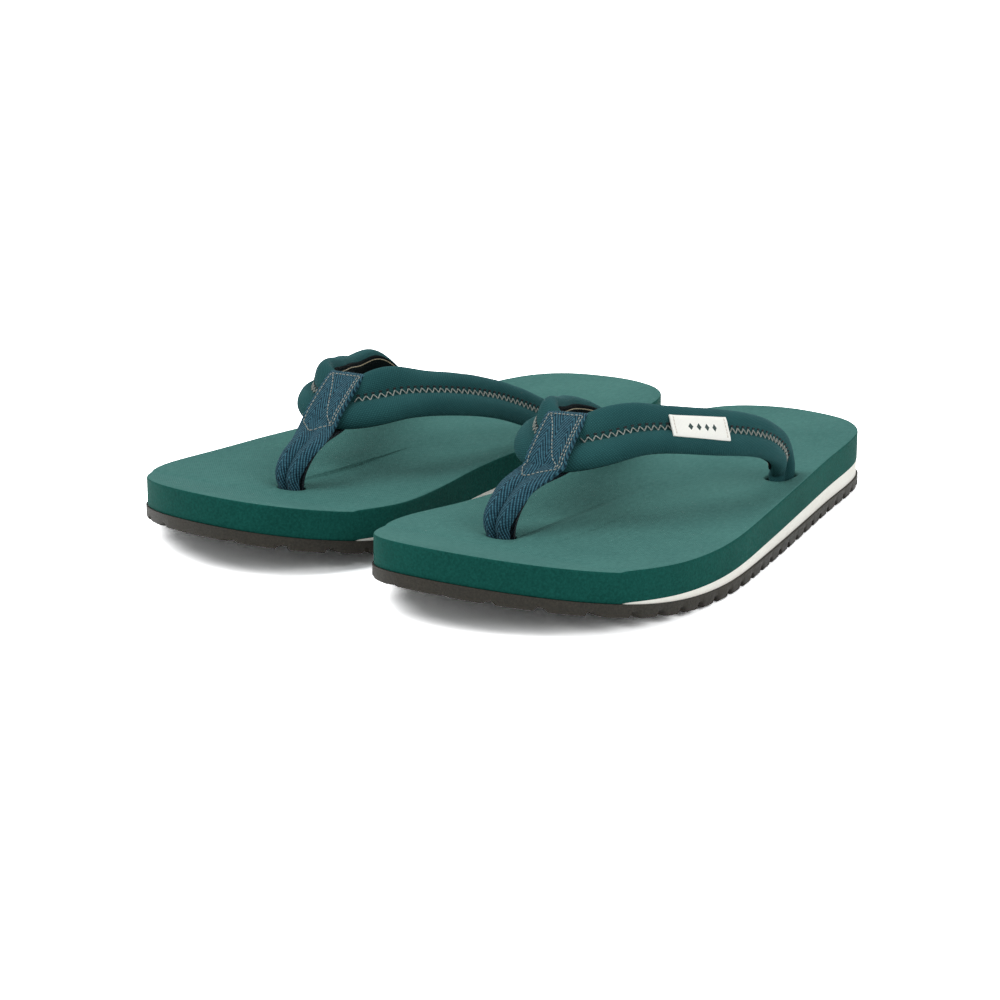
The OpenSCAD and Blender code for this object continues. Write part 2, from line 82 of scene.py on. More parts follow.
def studio_camera():
    low, high = cad_box
    centre = Vector(((low[0] + high[0]) / 2, (low[1] + high[1]) / 2, low[2]))
    aim = centre + AIM_OFFSET
    away = Vector((math.sin(VIEW_AZIMUTH) * math.cos(VIEW_ELEVATION),
                   -math.cos(VIEW_AZIMUTH) * math.cos(VIEW_ELEVATION),
                   math.sin(VIEW_ELEVATION)))
    data = bpy.data.cameras.new("camera")
    data.lens = VIEW_LENS
    data.sensor_width = 36.0
    data.clip_start = 0.01
    data.clip_end = 50.0
    camera = bpy.data.objects.new("camera", data)
    camera.location = aim + away * VIEW_DISTANCE
    camera.rotation_euler = away.to_track_quat("Z", "Y").to_euler()
    bpy.context.collection.objects.link(camera)
    bpy.context.scene.camera = camera


def lamp(name, place, size, power):
    data = bpy.data.lights.new(name, "AREA")
    data.shape = "DISK"
    data.size = size
    data.energy = power
    lamp_object = bpy.data.objects.new(name, data)
    lamp_object.location = place
    lamp_object.rotation_euler = (Vector(place) - LAMP_AIM).to_track_quat("Z", "Y").to_euler()
    bpy.context.collection.objects.link(lamp_object)


def add_node(tree, kind, inputs=(), **settings):
    """A node with its settings, and a value or a link for each input that is listed."""
    made = tree.nodes.new(kind)
    for key, value in settings.items():
        setattr(made, key, value)
    for key, value in dict(inputs).items():
        if isinstance(value, bpy.types.NodeSocket):
            tree.links.new(value, made.inputs[key])
        else:
            made.inputs[key].default_value = value
    return made


def white_for_sight(tree):
    """1 for camera, glossy and transmission rays, 0 for light that bounces."""
    rays = add_node(tree, "ShaderNodeLightPath").outputs
    seen = rays["Is Camera Ray"]
    for ray in ("Is Glossy Ray", "Is Transmission Ray"):
        seen = add_node(tree, "ShaderNodeMath", {0: seen, 1: rays[ray]}, operation="MAXIMUM").outputs[0]
    return seen


def two_way_shader(tree, kind, bounced, seen, output):
    """Gives a tree one shader for light that bounces and another for what is seen."""
    tree.nodes.clear()
    ways = [add_node(tree, kind, values).outputs[0] for values in (bounced, seen)]
    mix = add_node(tree, "ShaderNodeMixShader", {0: white_for_sight(tree), 1: ways[0], 2: ways[1]})
    add_node(tree, output, {0: mix.outputs[0]})


def studio_world():
    world = bpy.data.worlds.new("studio")
    world.use_nodes = True
    two_way_shader(world.node_tree, "ShaderNodeBackground",
                   {"Color": SKY_COLOUR, "Strength": SKY_STRENGTH},
                   {"Color": (1.0, 1.0, 1.0, 1.0), "Strength": 1.0}, "ShaderNodeOutputWorld")
    bpy.context.scene.world = world


def studio_floor():
    mesh = bpy.data.meshes.new("studio_floor")
    h = FLOOR_SIZE / 2
    mesh.from_pydata([(-h, -h, 0), (h, -h, 0), (h, h, 0), (-h, h, 0)], [], [(0, 1, 2, 3)])
    floor = bpy.data.objects.new("studio_floor", mesh)
    bpy.context.collection.objects.link(floor)
    material = bpy.data.materials.new("studio_floor")
    material.use_nodes = True
    two_way_shader(material.node_tree, "ShaderNodeBsdfDiffuse", {"Color": FLOOR_GREY},
                   {"Color": FLOOR_SEEN}, "ShaderNodeOutputMaterial")
    mesh.materials.append(material)


def studio():
    studio_camera()
    studio_world()
    studio_floor()
    for name, place, size, power in LAMPS:
        lamp(name, place, size, power)
    bpy.context.scene.view_settings.view_transform = "Standard"


# ---- Sizes shared with the CAD part, in millimetres, in one shoe's own frame:
# heel at y = 0, toe towards +y, outer side at +x
OUTLINE_MM = [(2, 0), (20, 4), (31.5, 14), (38, 30), (44, 62), (52, 100), (59.5, 137), (66, 174),
              (66.5, 207), (61, 230), (50, 246.5), (36, 258.5), (20, 266.5), (3, 270), (-13, 268.5),
              (-25.5, 260), (-35, 246.5), (-41.6, 230.5), (-44.0, 211), (-40.5, 184), (-36, 149),
              (-36.4, 113), (-38.8, 75), (-41, 42), (-37, 20.5), (-27.5, 7.5), (-13, 1)]
SOLE_L = 270.0
BED_HEEL_T = 12.0
BED_TOE_T = 11.0
WEDGE_T = 6.4
WEDGE_END = 235.0
OUTSOLE_T = 4.8
OUTSOLE_LIP = 0.6
LUG_H = 2.2
LUG_PITCH = 10.5
LUG_GAP = 3.0
TOE_SPRING = 13.6
SPRING_L = 99.0
SPRING_Y = SOLE_L - SPRING_L

SLOT_Y = 96.0
OUTER_SLOT_X = 41.0
INNER_SLOT_X = 29.0
POST_X = 0.5
POST_Y = SOLE_L - 48.0
SLOT_W = 8.4
SLOT_L = 14.4
POST_HOLE_L = 11.0
POST_HOLE_W = 8.6

STRAP_W = 25.0
STRAP_END_W = 13.0
STRAP_T = 8.6
STRAP_END_T = 6.4
STRAP_RISE = 28.0
STRAP_ROUTE = [(1.09, 0.08, 0.5), (1.1, 0.22, 0.8), (0.94, 0.39, 0.98), (0.56, 0.58, 1.03),
               (0, 0.735, 0.97), (-0.57, 0.61, 1.06), (-0.86, 0.44, 0.95), (-0.99, 0.27, 0.73),
               (-1.06, 0.11, 0.42)]
MOUTH_RISE = 4.5
SLOT_DEPTH = 4.0
FORWARD_LEAN = 0.8
APEX_X = POST_X + 2.5
LINING_T = 0.8
WEB_W = 16.0
WEB_T = 1.5
LABEL_L = 23.0
LABEL_W = 9.2
LABEL_S = 5.25
LABEL_U = 0.3


def unit(v):
    v = np.asarray(v, dtype=float)
    return v / np.linalg.norm(v, axis=-1, keepdims=True)


def curve(a, b, c, d, t):
    """Point on the smooth curve from b to c, with a and d as their neighbours."""
    return 0.5 * (2 * b + (c - a) * t + (2 * a - 5 * b + 4 * c - d) * t * t
                  + (3 * b - 3 * c + d - a) * t * t * t)


def loop_curve(points, steps):
    points = np.asarray(points, dtype=float)
    n = len(points)
    return np.array([curve(points[i - 1], points[i], points[(i + 1) % n], points[(i + 2) % n], s / steps)
                     for i in range(n) for s in range(steps)])


def open_curve(points, steps):
    """Smooth curve through a list of points (or of rows of points), ends included."""
    points = np.asarray(points, dtype=float)
    n = len(points)
    out = [curve(points[max(i - 1, 0)], points[i], points[i + 1], points[min(i + 2, n - 1)], s / steps)
           for i in range(n - 1) for s in range(steps)]
    return np.array(out + [points[-1]])


OUTLINE_STEPS = 10
OUTLINE_SMOOTHING = 8
sole_outline = loop_curve(OUTLINE_MM, OUTLINE_STEPS)
for _ in range(OUTLINE_SMOOTHING):
    neighbours = (np.roll(sole_outline, 1, axis=0) + np.roll(sole_outline, -1, axis=0)) / 2
    sole_outline = (sole_outline + neighbours) / 2
sole_outline[:, 1] -= sole_outline[:, 1].min()
sole_outline[:, 1] *= SOLE_L / sole_outline[:, 1].max()


def grown(outline, grow):
    """The outline moved outwards by a distance."""
    along = unit(np.roll(outline, -1, 0) - np.roll(outline, 1, 0))
    return outline + grow * np.stack([along[:, 1], -along[:, 0]], -1)


def ground_z(y):
    return TOE_SPRING * (np.clip(np.asarray(y, dtype=float) - SPRING_Y, 0, None) / SPRING_L) ** 2


def outsole_top_z(y):
    return ground_z(y) + OUTSOLE_T


def wedge_top_z(y):
    share = np.clip(1 - np.clip(np.asarray(y, dtype=float), 0, None) / WEDGE_END, 0, 1)
    return outsole_top_z(y) + WEDGE_T * np.sqrt(share)


def bed_top_z(y):
    return wedge_top_z(y) + BED_HEEL_T + (BED_TOE_T - BED_HEEL_T) * np.clip(y, 0, None) / SOLE_L


SLOT_TOP = float(bed_top_z(SLOT_Y))
POST_TOP = float(bed_top_z(POST_Y))


# ---- Placing and making meshes
def to_frame(side, points_mm):
    """Points of one shoe, in millimetres, to the row frame, in metres."""
    low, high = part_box(f"{side}_footbed")
    points = np.asarray(points_mm, dtype=float) * MM
    reach = sole_outline[:, 0].max() * MM
    out = np.empty_like(points)
    if side == "left":
        out[..., 0] = high[0] - reach + points[..., 0]
    else:
        out[..., 0] = low[0] + reach - points[..., 0]
    out[..., 1] = high[1] - points[..., 1]
    out[..., 2] = points[..., 2]
    return out


def new_piece(side, name, verts_mm, faces, corner_uv=None, face_material=None, materials=()):
    """A mesh object from points in a shoe's own frame. The left shoe is mirrored, so its faces turn."""
    verts = to_frame(side, verts_mm)
    if side == "left":
        faces = [tuple(reversed(f)) for f in faces]
        if corner_uv is not None:
            corner_uv = [tuple(reversed(c)) for c in corner_uv]
    mesh = bpy.data.meshes.new(f"{side}_{name}_look")
    mesh.from_pydata([tuple(v) for v in verts], [], [tuple(int(i) for i in f) for f in faces])
    for material in materials:
        mesh.materials.append(material)
    if face_material is not None:
        mesh.polygons.foreach_set("material_index", np.asarray(face_material, dtype=np.int32))
    if corner_uv is not None:
        layer = mesh.uv_layers.new(name="weave")
        flat = np.array([c for face in corner_uv for c in face], dtype=np.float32).ravel()
        layer.data.foreach_set("uv", flat)
    piece = bpy.data.objects.new(f"{side}_{name}_look", mesh)
    bpy.context.collection.objects.link(piece)
    return piece


def shade(piece, sharp_degrees):
    """Smooth faces, with edges kept sharp where the surface turns by more than an angle."""
    work = bmesh.new()
    work.from_mesh(piece.data)
    limit = math.radians(sharp_degrees)
    for face in work.faces:
        face.smooth = True
    for edge in work.edges:
        edge.smooth = len(edge.link_faces) != 2 or edge.calc_face_angle(0.0) < limit
    work.to_mesh(piece.data)
    work.free()


def grid_faces(rows, cols, closed, u, v):
    """Faces and their corner coordinates for rows of points; closed joins each row's ends."""
    faces, corners = [], []
    for i in range(rows - 1):
        for j in range(cols if closed else cols - 1):
            k = (j + 1) % cols
            faces.append((i * cols + j, i * cols + k, (i + 1) * cols + k, (i + 1) * cols + j))
            corners.append(((u[j], v[i]), (u[j + 1], v[i]), (u[j + 1], v[i + 1]), (u[j], v[i + 1])))
    return faces, corners


def distances(points):
    steps = np.linalg.norm(np.diff(points, axis=0), axis=-1)
    return np.concatenate([[0.0], np.cumsum(steps)])


def tube(side, name, rings, materials, u=None, v=None):
    """Closed skin over rings of points, with closed ends."""
    rings = np.asarray(rings)
    rows, cols = rings.shape[:2]
    if u is None:
        u = distances(np.vstack([rings[rows // 2], rings[rows // 2][:1]]))
    if v is None:
        v = distances(rings.mean(axis=1))
    faces, corners = grid_faces(rows, cols, True, u, v)
    first, last = list(range(cols))[::-1], [(rows - 1) * cols + j for j in range(cols)]
    for cap in (first, last):
        faces.append(tuple(cap))
        corners.append(tuple((float(u[i % cols]), 0.0) for i in cap))
    return new_piece(side, name, rings.reshape(-1, 3), faces, corners, None, materials)


def finish_piece(piece, side, slot, *nodes):
    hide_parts(*[f"{side}_{n}" for n in nodes])
    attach(piece, f"{side}_shoe")


def apply_modifiers(piece):
    """The piece's mesh as its modifiers leave it, and no modifiers."""
    depsgraph = bpy.context.evaluated_depsgraph_get()
    baked = bpy.data.meshes.new_from_object(piece.evaluated_get(depsgraph), depsgraph=depsgraph)
    old = piece.data
    piece.modifiers.clear()
    piece.data = baked
    bpy.data.meshes.remove(old)


# ---- Materials
def paint(red, green, blue):
    """An sRGB colour, 0 to 255, as the linear colour that Blender's sockets take."""
    out = []
    for value in (red, green, blue):
        c = value / 255
        out.append(c / 12.92 if c <= 0.04045 else ((c + 0.055) / 1.055) ** 2.4)
    return (*out, 1.0)


class Finish:
    """A material under construction, with short words for the nodes that it is made of."""

    def __init__(self, name, roughness, **sockets):
        self.material = bpy.data.materials.new(name)
        self.material.use_nodes = True
        self.tree = self.material.node_tree
        self.shader = self.tree.nodes["Principled BSDF"]
        self.shader.inputs["Roughness"].default_value = roughness
        for socket, value in sockets.items():
            self.shader.inputs[socket.replace("_", " ")].default_value = value
        self.coordinates = self.node("ShaderNodeTexCoord")

    def node(self, kind, inputs=(), **settings):
        return add_node(self.tree, kind, inputs, **settings)

    def math(self, operation, a, b=0.0):
        return self.node("ShaderNodeMath", {0: a, 1: b}, operation=operation).outputs[0]

    def noise(self, per_metre, detail=3.0, roughness=0.55, stretch=(1, 1, 1)):
        """Noise with so many blobs to the metre; stretch makes it finer along an axis."""
        turned = self.node("ShaderNodeMapping", {"Vector": self.coordinates.outputs["Object"],
                                                 "Scale": tuple(per_metre * s for s in stretch)})
        made = self.node("ShaderNodeTexNoise", {"Vector": turned.outputs[0], "Scale": 1.0,
                                                "Detail": detail, "Roughness": roughness})
        return made.outputs["Fac"]

    def axis(self, which, source="UV"):
        return self.node("ShaderNodeSeparateXYZ", {0: self.coordinates.outputs[source]}).outputs[which]

    def wave(self, value, pitch):
        """0 to 1 and back over each pitch."""
        turned = self.math("SINE", self.math("MULTIPLY", value, 2 * math.pi / pitch))
        made = self.node("ShaderNodeMath", {0: turned, 1: 0.5, 2: 0.5}, operation="MULTIPLY_ADD")
        return made.outputs[0]

    def crossed(self, a, b, pitch_a, pitch_b):
        """Two waves over each other, as threads that cross."""
        return self.math("MULTIPLY", self.wave(a, pitch_a), self.wave(b, pitch_b))

    def between(self, factor, low, high, colours):
        """A colour that goes through several colours as factor goes from low to high."""
        ramp = self.node("ShaderNodeValToRGB", {0: factor})
        stops = ramp.color_ramp.elements
        while len(stops) < len(colours):
            stops.new(0.5)
        for i, colour in enumerate(colours):
            stops[i].position = low + (high - low) * i / (len(colours) - 1)
            stops[i].color = colour
        return ramp.outputs["Color"]

    def mixed(self, factor, a, b):
        return self.node("ShaderNodeMix", {0: factor, 6: a, 7: b}, data_type="RGBA").outputs[2]

    def feed(self, socket, value):
        self.tree.links.new(value, self.shader.inputs[socket])
        return value

    def colour(self, value):
        self.feed("Base Color", value)

    def rough(self, factor, low, high):
        made = self.node("ShaderNodeMapRange", {"Value": factor, "To Min": low, "To Max": high})
        self.feed("Roughness", made.outputs[0])

    def bump(self, height, depth, under=None):
        """Relief of that depth in metres, over an earlier relief if there is one."""
        inputs = {"Height": height, "Distance": depth, "Strength": 1.0}
        if under is not None:
            inputs["Normal"] = under
        return self.feed("Normal", self.node("ShaderNodeBump", inputs).outputs[0])


# Pitches of weaves: in metres on the footbed, in millimetres on the cloths
EMBOSS_PITCH = 0.0011
KNIT_PITCH = 0.8
LINING_PITCH = 0.8
HERRINGBONE_COLUMN = 4.0
HERRINGBONE_PITCH = 2.4
WARP_PITCH = 0.95


def footbed_top_finish():
    f = Finish("footbed_top_foam", 0.9, Specular_IOR_Level=0.08)
    cloudy = f.noise(22, 4.0)
    grain = f.noise(900, 2.0, stretch=(1.0, 0.45, 1.0))
    tone = f.between(cloudy, 0.3, 0.7, [paint(58, 103, 98), paint(65, 110, 105), paint(71, 117, 111)])
    speck = f.between(grain, 0.3, 0.75, [paint(52, 95, 90), paint(78, 126, 119)])
    f.colour(f.mixed(0.35, tone, speck))
    x, y = f.axis(0, "Object"), f.axis(1, "Object")
    weave = f.crossed(f.math("ADD", x, y), f.math("SUBTRACT", x, y), EMBOSS_PITCH, EMBOSS_PITCH)
    f.bump(grain, 0.00018, f.bump(weave, 0.00012))
    return f.material


def speckled_finish(name, roughness, specular, fine, broad, tones, specks, share, depth, worn=None):
    """Foam or rubber: broad clouds of tone, and a fine grain that also gives the relief."""
    f = Finish(name, roughness, Specular_IOR_Level=specular)
    grain = f.noise(*fine)
    cloudy = f.noise(*broad)
    f.colour(f.mixed(share, f.between(cloudy, *tones), f.between(grain, *specks)))
    if worn is not None:
        f.rough(cloudy, *worn)
    f.bump(grain, depth)
    return f.material


def footbed_side_finish():
    return speckled_finish("footbed_side_foam", 0.85, 0.1, (1100, 2.5, 0.7), (40, 3.0),
                           (0.3, 0.7, [paint(4, 62, 55), paint(11, 74, 66)]),
                           (0.35, 0.75, [paint(2, 50, 45), paint(30, 98, 89)]), 0.35, 0.00016)


def wedge_finish():
    return speckled_finish("cream_foam", 0.8, 0.2, (900, 2.5, 0.7), (60, 4.0),
                           (0.3, 0.75, [paint(240, 237, 226), paint(252, 250, 242)]),
                           (0.35, 0.75, [paint(244, 240, 228), paint(255, 255, 252)]), 0.35, 0.00012)


def outsole_finish():
    return speckled_finish("outsole_rubber", 0.75, 0.2, (1400, 2.0, 0.6), (70, 4.0),
                           (0.3, 0.72, [paint(28, 26, 22), paint(46, 43, 37)]),
                           (0.35, 0.8, [paint(20, 19, 16), paint(76, 72, 62)]), 0.3, 0.00014,
                           worn=(0.6, 0.82))


def knit_finish():
    f = Finish("strap_knit", 0.9, Specular_IOR_Level=0.08, Sheen_Weight=0.12, Sheen_Roughness=0.45,
               Sheen_Tint=paint(120, 175, 180))
    around, along = f.axis(0), f.axis(1)
    ribs = f.math("ADD", around, f.math("MULTIPLY", along, 0.5))
    loops = f.math("SUBTRACT", along, f.math("MULTIPLY", around, 0.5))
    knit = f.crossed(ribs, loops, KNIT_PITCH, KNIT_PITCH)
    cloudy = f.noise(45, 3.0)
    tone = f.between(cloudy, 0.3, 0.7, [paint(29, 70, 72), paint(38, 82, 83)])
    f.colour(f.mixed(0.28, tone, f.between(knit, 0.1, 0.9, [paint(18, 50, 53), paint(66, 118, 118)])))
    f.bump(f.noise(260, 3.0), 0.0001, f.bump(knit, 0.00016))
    return f.material


def lining_finish():
    f = Finish("strap_lining", 0.95, Specular_IOR_Level=0.04)
    weave = f.crossed(f.axis(0), f.axis(1), LINING_PITCH, LINING_PITCH)
    f.colour(f.between(weave, 0.1, 0.9, [paint(5, 9, 10), paint(18, 28, 31)]))
    f.bump(weave, 0.00012)
    return f.material


def webbing_finish(name, dark, middle, light):
    """Herringbone tape: slanting ribs whose slant turns at each column."""
    f = Finish(name, 0.88, Specular_IOR_Level=0.1, Sheen_Weight=0.06, Sheen_Roughness=0.4)
    across, along = f.axis(0), f.axis(1)
    slant = f.node("ShaderNodeMath", {0: across, 1: HERRINGBONE_COLUMN}, operation="PINGPONG").outputs[0]
    twill = f.wave(f.math("ADD", along, f.math("MULTIPLY", slant, 2.4)), HERRINGBONE_PITCH)
    warp = f.wave(f.math("SUBTRACT", along, f.math("MULTIPLY", slant, 0.5)), WARP_PITCH)
    yarn = f.noise(700, 2.0, 0.6)
    shown = f.math("MULTIPLY", twill, f.math("ADD", 0.6, f.math("MULTIPLY", warp, 0.4)))
    tone = f.between(shown, 0.05, 0.8, [dark, middle, light])
    f.colour(f.mixed(0.25, tone, f.between(yarn, 0.35, 0.7, [dark, light])))
    f.bump(shown, 0.0004)
    return f.material


def thread_finish(name, low, high):
    f = Finish(name, 0.7, Specular_IOR_Level=0.2, Sheen_Weight=0.1)
    strands = f.noise(2600, 1.5)
    f.colour(f.between(strands, 0.3, 0.7, [low, high]))
    f.bump(strands, 0.00008)
    return f.material


def label_finish():
    """Off-white satin tape with a plain row of woven lozenges."""
    f = Finish("woven_label", 0.7, Specular_IOR_Level=0.25, Sheen_Weight=0.2)
    across, along = f.axis(0), f.axis(1)
    weave = f.crossed(across, along, 0.34, 0.5)
    ground = f.between(weave, 0.1, 0.9, [paint(236, 235, 227), paint(255, 255, 250)])
    row = f.math("ABSOLUTE", f.math("SUBTRACT", across, LABEL_W / 2))
    column = f.node("ShaderNodeMath", {0: along, 1: 1.6}, operation="PINGPONG").outputs[0]
    lozenge = f.math("ADD", f.math("MULTIPLY", row, 0.62), column)
    inside = f.math("LESS_THAN", lozenge, 0.95)
    margin = f.math("LESS_THAN", f.math("ABSOLUTE", f.math("SUBTRACT", along, LABEL_L / 2)), 6.5)
    mark = f.math("MULTIPLY", inside, margin)
    f.colour(f.mixed(mark, ground, paint(44, 62, 60)))
    f.bump(weave, 0.00008)
    return f.material


def plain_finish(name, low, high, roughness, per_metre, depth):
    """For what is sealed inside: a two-tone grain with a little relief."""
    f = Finish(name, roughness)
    grain = f.noise(per_metre, 3.0)
    f.colour(f.between(grain, 0.3, 0.7, [low, high]))
    f.bump(grain, depth)
    return f.material


def all_finishes():
    return {
        "top": footbed_top_finish(),
        "side": footbed_side_finish(),
        "wedge": wedge_finish(),
        "outsole": outsole_finish(),
        "knit": knit_finish(),
        "lining": lining_finish(),
        "webbing": webbing_finish("toe_webbing", paint(8, 30, 42), paint(28, 66, 80), paint(70, 118, 134)),
        # Liner behind the toe post: the webbing's weave made near-black, which is painted shade in the fold
        "web_liner": webbing_finish("web_liner", paint(4, 10, 16), paint(10, 20, 28), paint(26, 42, 52)),
        "thread": thread_finish("grey_thread", paint(84, 92, 88), paint(168, 172, 164)),
        "tan_thread": thread_finish("tan_thread", paint(120, 108, 84), paint(178, 164, 134)),
        # Needle holes: near-black marks whose colour is painted shade inside the holes
        "needle_hole_shade": plain_finish("needle_hole_shade", paint(4, 8, 9), paint(10, 18, 20), 0.95, 900, 0.00005),
        "label": label_finish(),
        "label_thread": thread_finish("label_thread", paint(186, 178, 168), paint(222, 212, 204)),
        "foam": plain_finish("padding_foam", paint(190, 190, 180), paint(218, 218, 208), 0.9, 1200, 0.0002),
        "tape": plain_finish("core_tape", paint(52, 54, 56), paint(84, 86, 88), 0.8, 900, 0.0001),
        "anchor": plain_finish("anchor_plastic", paint(40, 42, 44), paint(58, 60, 62), 0.5, 300, 0.00005),
    }


# ---- Sole
SPINE_MARGIN = 42.0
SPINE_Y = (0, 110, 200, SOLE_L)
SPINE_X = (0.5, 8.0, 12.5, 12.5)
SOLE_MIDDLE_X = 8.0
EDGE_ROUND = 0.9
RIM_STEPS = 4
INSETS = (0.965, 0.92, 0.85, 0.76, 0.65, 0.53, 0.4, 0.27, 0.14)


def spine_of(outline):
    """For each point of the outline, the point on the shoe's middle line that it shrinks to."""
    y = np.clip(outline[:, 1], SPINE_MARGIN, SOLE_L - SPINE_MARGIN)
    return np.stack([np.interp(y, SPINE_Y, SPINE_X), y], -1)


def rounded_rim(outline, radius):
    """Outlines that step inwards and upwards round an edge: pairs of (outline, rise)."""
    angles = [math.pi / 2 * i / RIM_STEPS for i in range(RIM_STEPS + 1)]
    return [(grown(outline, -radius * (1 - math.cos(a))), radius * math.sin(a)) for a in angles]


def sole_layer(side, name, outline, low_z, high_z, low_round, high_round, materials, wall_rows):
    """A slab between two heights inside an outline, with rounded rims, closed all round."""
    loops = []
    spine = spine_of(outline)
    low_rim = rounded_rim(outline, low_round)
    high_rim = rounded_rim(outline, high_round)
    for share in INSETS[::-1]:
        ring = spine + (low_rim[-1][0] - spine) * share
        loops.append(np.column_stack([ring, low_z(ring[:, 1])]))
    for ring, rise in low_rim[::-1]:
        loops.append(np.column_stack([ring, low_z(ring[:, 1]) + low_round - rise]))
    for i in range(1, wall_rows):
        t = i / wall_rows
        y = outline[:, 1]
        z = (low_z(y) + low_round) * (1 - t) + (high_z(y) - high_round) * t
        loops.append(np.column_stack([outline, z]))
    wall_end = len(loops)
    for ring, rise in high_rim:
        loops.append(np.column_stack([ring, high_z(ring[:, 1]) - high_round + rise]))
    for share in INSETS:
        ring = spine + (high_rim[-1][0] - spine) * share
        loops.append(np.column_stack([ring, high_z(ring[:, 1])]))
    loops = np.array(loops)
    rows, cols = loops.shape[:2]
    faces, _ = grid_faces(rows, cols, True, np.zeros(cols + 1), np.zeros(rows))
    top_row = wall_end + len(high_rim) // 2
    face_material = [1 if i // cols < top_row else 0 for i in range(len(faces))]
    faces.append(tuple(range(cols))[::-1])
    faces.append(tuple((rows - 1) * cols + j for j in range(cols)))
    face_material += [1, 0]
    return new_piece(side, name, loops.reshape(-1, 3), faces, None, face_material, materials)


def cut(piece, cutters):
    """Cuts closed meshes out of a piece."""
    for cutter in cutters:
        modifier = piece.modifiers.new("cut", "BOOLEAN")
        modifier.operation = "DIFFERENCE"
        modifier.solver = "EXACT"
        modifier.object = cutter
    apply_modifiers(piece)
    for cutter in cutters:
        mesh = cutter.data
        bpy.data.objects.remove(cutter)
        bpy.data.meshes.remove(mesh)


# A cutter's reach under and over the footbed's top, and its mouth: height over the top, and growth
CUT_BELOW = -30.0
CUT_ABOVE = 12.0
SLOT_MOUTH = ((-1.2, 0), (-0.42, 0.3), (0.2, 0.96))
TOE_HOLE_MOUTH = ((-1.2, 0), (-0.4, 0.2), (0.3, 0.8))
TOE_HOLE_Y = POST_Y - 0.6


def hole_cutter(side, x, y, top, half_x, half_y, straight, mouth):
    """A rounded hole through the whole footbed, with a straight part along y and a soft mouth."""
    angles = np.linspace(0, 2 * math.pi, 40, endpoint=False)
    shift = np.where(np.sin(angles) >= 0, 1, -1) * straight / 2
    rings = []
    for z, grow in ((CUT_BELOW, 0), *mouth, (CUT_ABOVE, mouth[-1][1])):
        rings.append(np.column_stack([x + (half_x + grow) * np.cos(angles),
                                      y + shift + (half_y + grow) * np.sin(angles),
                                      np.full(len(angles), top + z)]))
    return tube(side, "cutter", rings, ())


def footbed(side, finishes):
    piece = sole_layer(side, "footbed", sole_outline, wedge_top_z, bed_top_z, 0.3, EDGE_ROUND,
                       (finishes["top"], finishes["side"]), 6)
    cutters = [hole_cutter(side, x, SLOT_Y, SLOT_TOP, SLOT_W / 2, SLOT_W / 2, SLOT_L - SLOT_W, SLOT_MOUTH)
               for x in (OUTER_SLOT_X, -INNER_SLOT_X)]
    cutters.append(hole_cutter(side, POST_X, TOE_HOLE_Y, POST_TOP, POST_HOLE_L / 2, POST_HOLE_W / 2, 0,
                               TOE_HOLE_MOUTH))
    cut(piece, cutters)
    shade(piece, 50)
    finish_piece(piece, side, "footbed_foam", "footbed")


def heel_wedge(side, finishes):
    outline = sole_outline.copy()
    outline[:, 1] = np.minimum(outline[:, 1], WEDGE_END - 0.5)
    piece = sole_layer(side, "heel_wedge", grown_in_x(outline, -0.25), outsole_top_z, wedge_top_z,
                       0.05, 0.05, (finishes["wedge"], finishes["wedge"]), 3)
    shade(piece, 50)
    finish_piece(piece, side, "wedge_foam", "heel_wedge")


def grown_in_x(outline, grow):
    """Moved sideways only, which leaves a cut-off end where it is."""
    out = outline.copy()
    out[:, 0] += grow * np.sign(out[:, 0] - SOLE_MIDDLE_X)
    return out


# ---- Outsole: rows of lugs with notched edges
ROW_STEP = 0.75
END_ROWS = np.array([0.04, 0.15, 0.35, 0.6])
EDGE_COLUMNS = np.array([0, 0.25, 0.6, 1.2, 2.2, 3.6, 5.5])
MIDDLE_COLUMNS = 34
RUBBER_ROUND = 0.7
RUBBER_ROUND_REACH = 0.9


def side_reach(y, outline, outer):
    """The outline's x at a distance from the heel, on its outer or inner side."""
    from_heel = np.roll(outline, -int(outline[:, 1].argmin()), 0)
    toe = int(from_heel[:, 1].argmax())
    run = from_heel[:toe + 1] if outer else np.vstack([from_heel[toe:], from_heel[:1]])[::-1]
    order = np.maximum.accumulate(run[:, 1])
    return np.interp(y, order + np.arange(len(order)) * 1e-9, run[:, 0])


# Wavy grooves across: their waves' rise and length, and how far from the middle they fade out
ROW_WAVE = 2.2
ROW_WAVE_L = 9.0
ROW_WAVE_REACH = 70.0
GROOVE_SLOPE = 0.9
# The wavy groove along the middle
MIDDLE_HALF_W = 2.4
MIDDLE_WAVE = 3.0
MIDDLE_WAVE_L = 14.0
# Blocks round the toe, which take over from the rows there
TOE_FROM_Y = 236.0
TOE_BLEND_L = 8.0
TOE_CENTRE_Y = 212.0
TOE_RADIUS = 54.0
TOE_LUG_L = 17.0
TOE_GROOVE_SLOPE = 1.2
TOE_GROOVE_DEPTH = 1.3


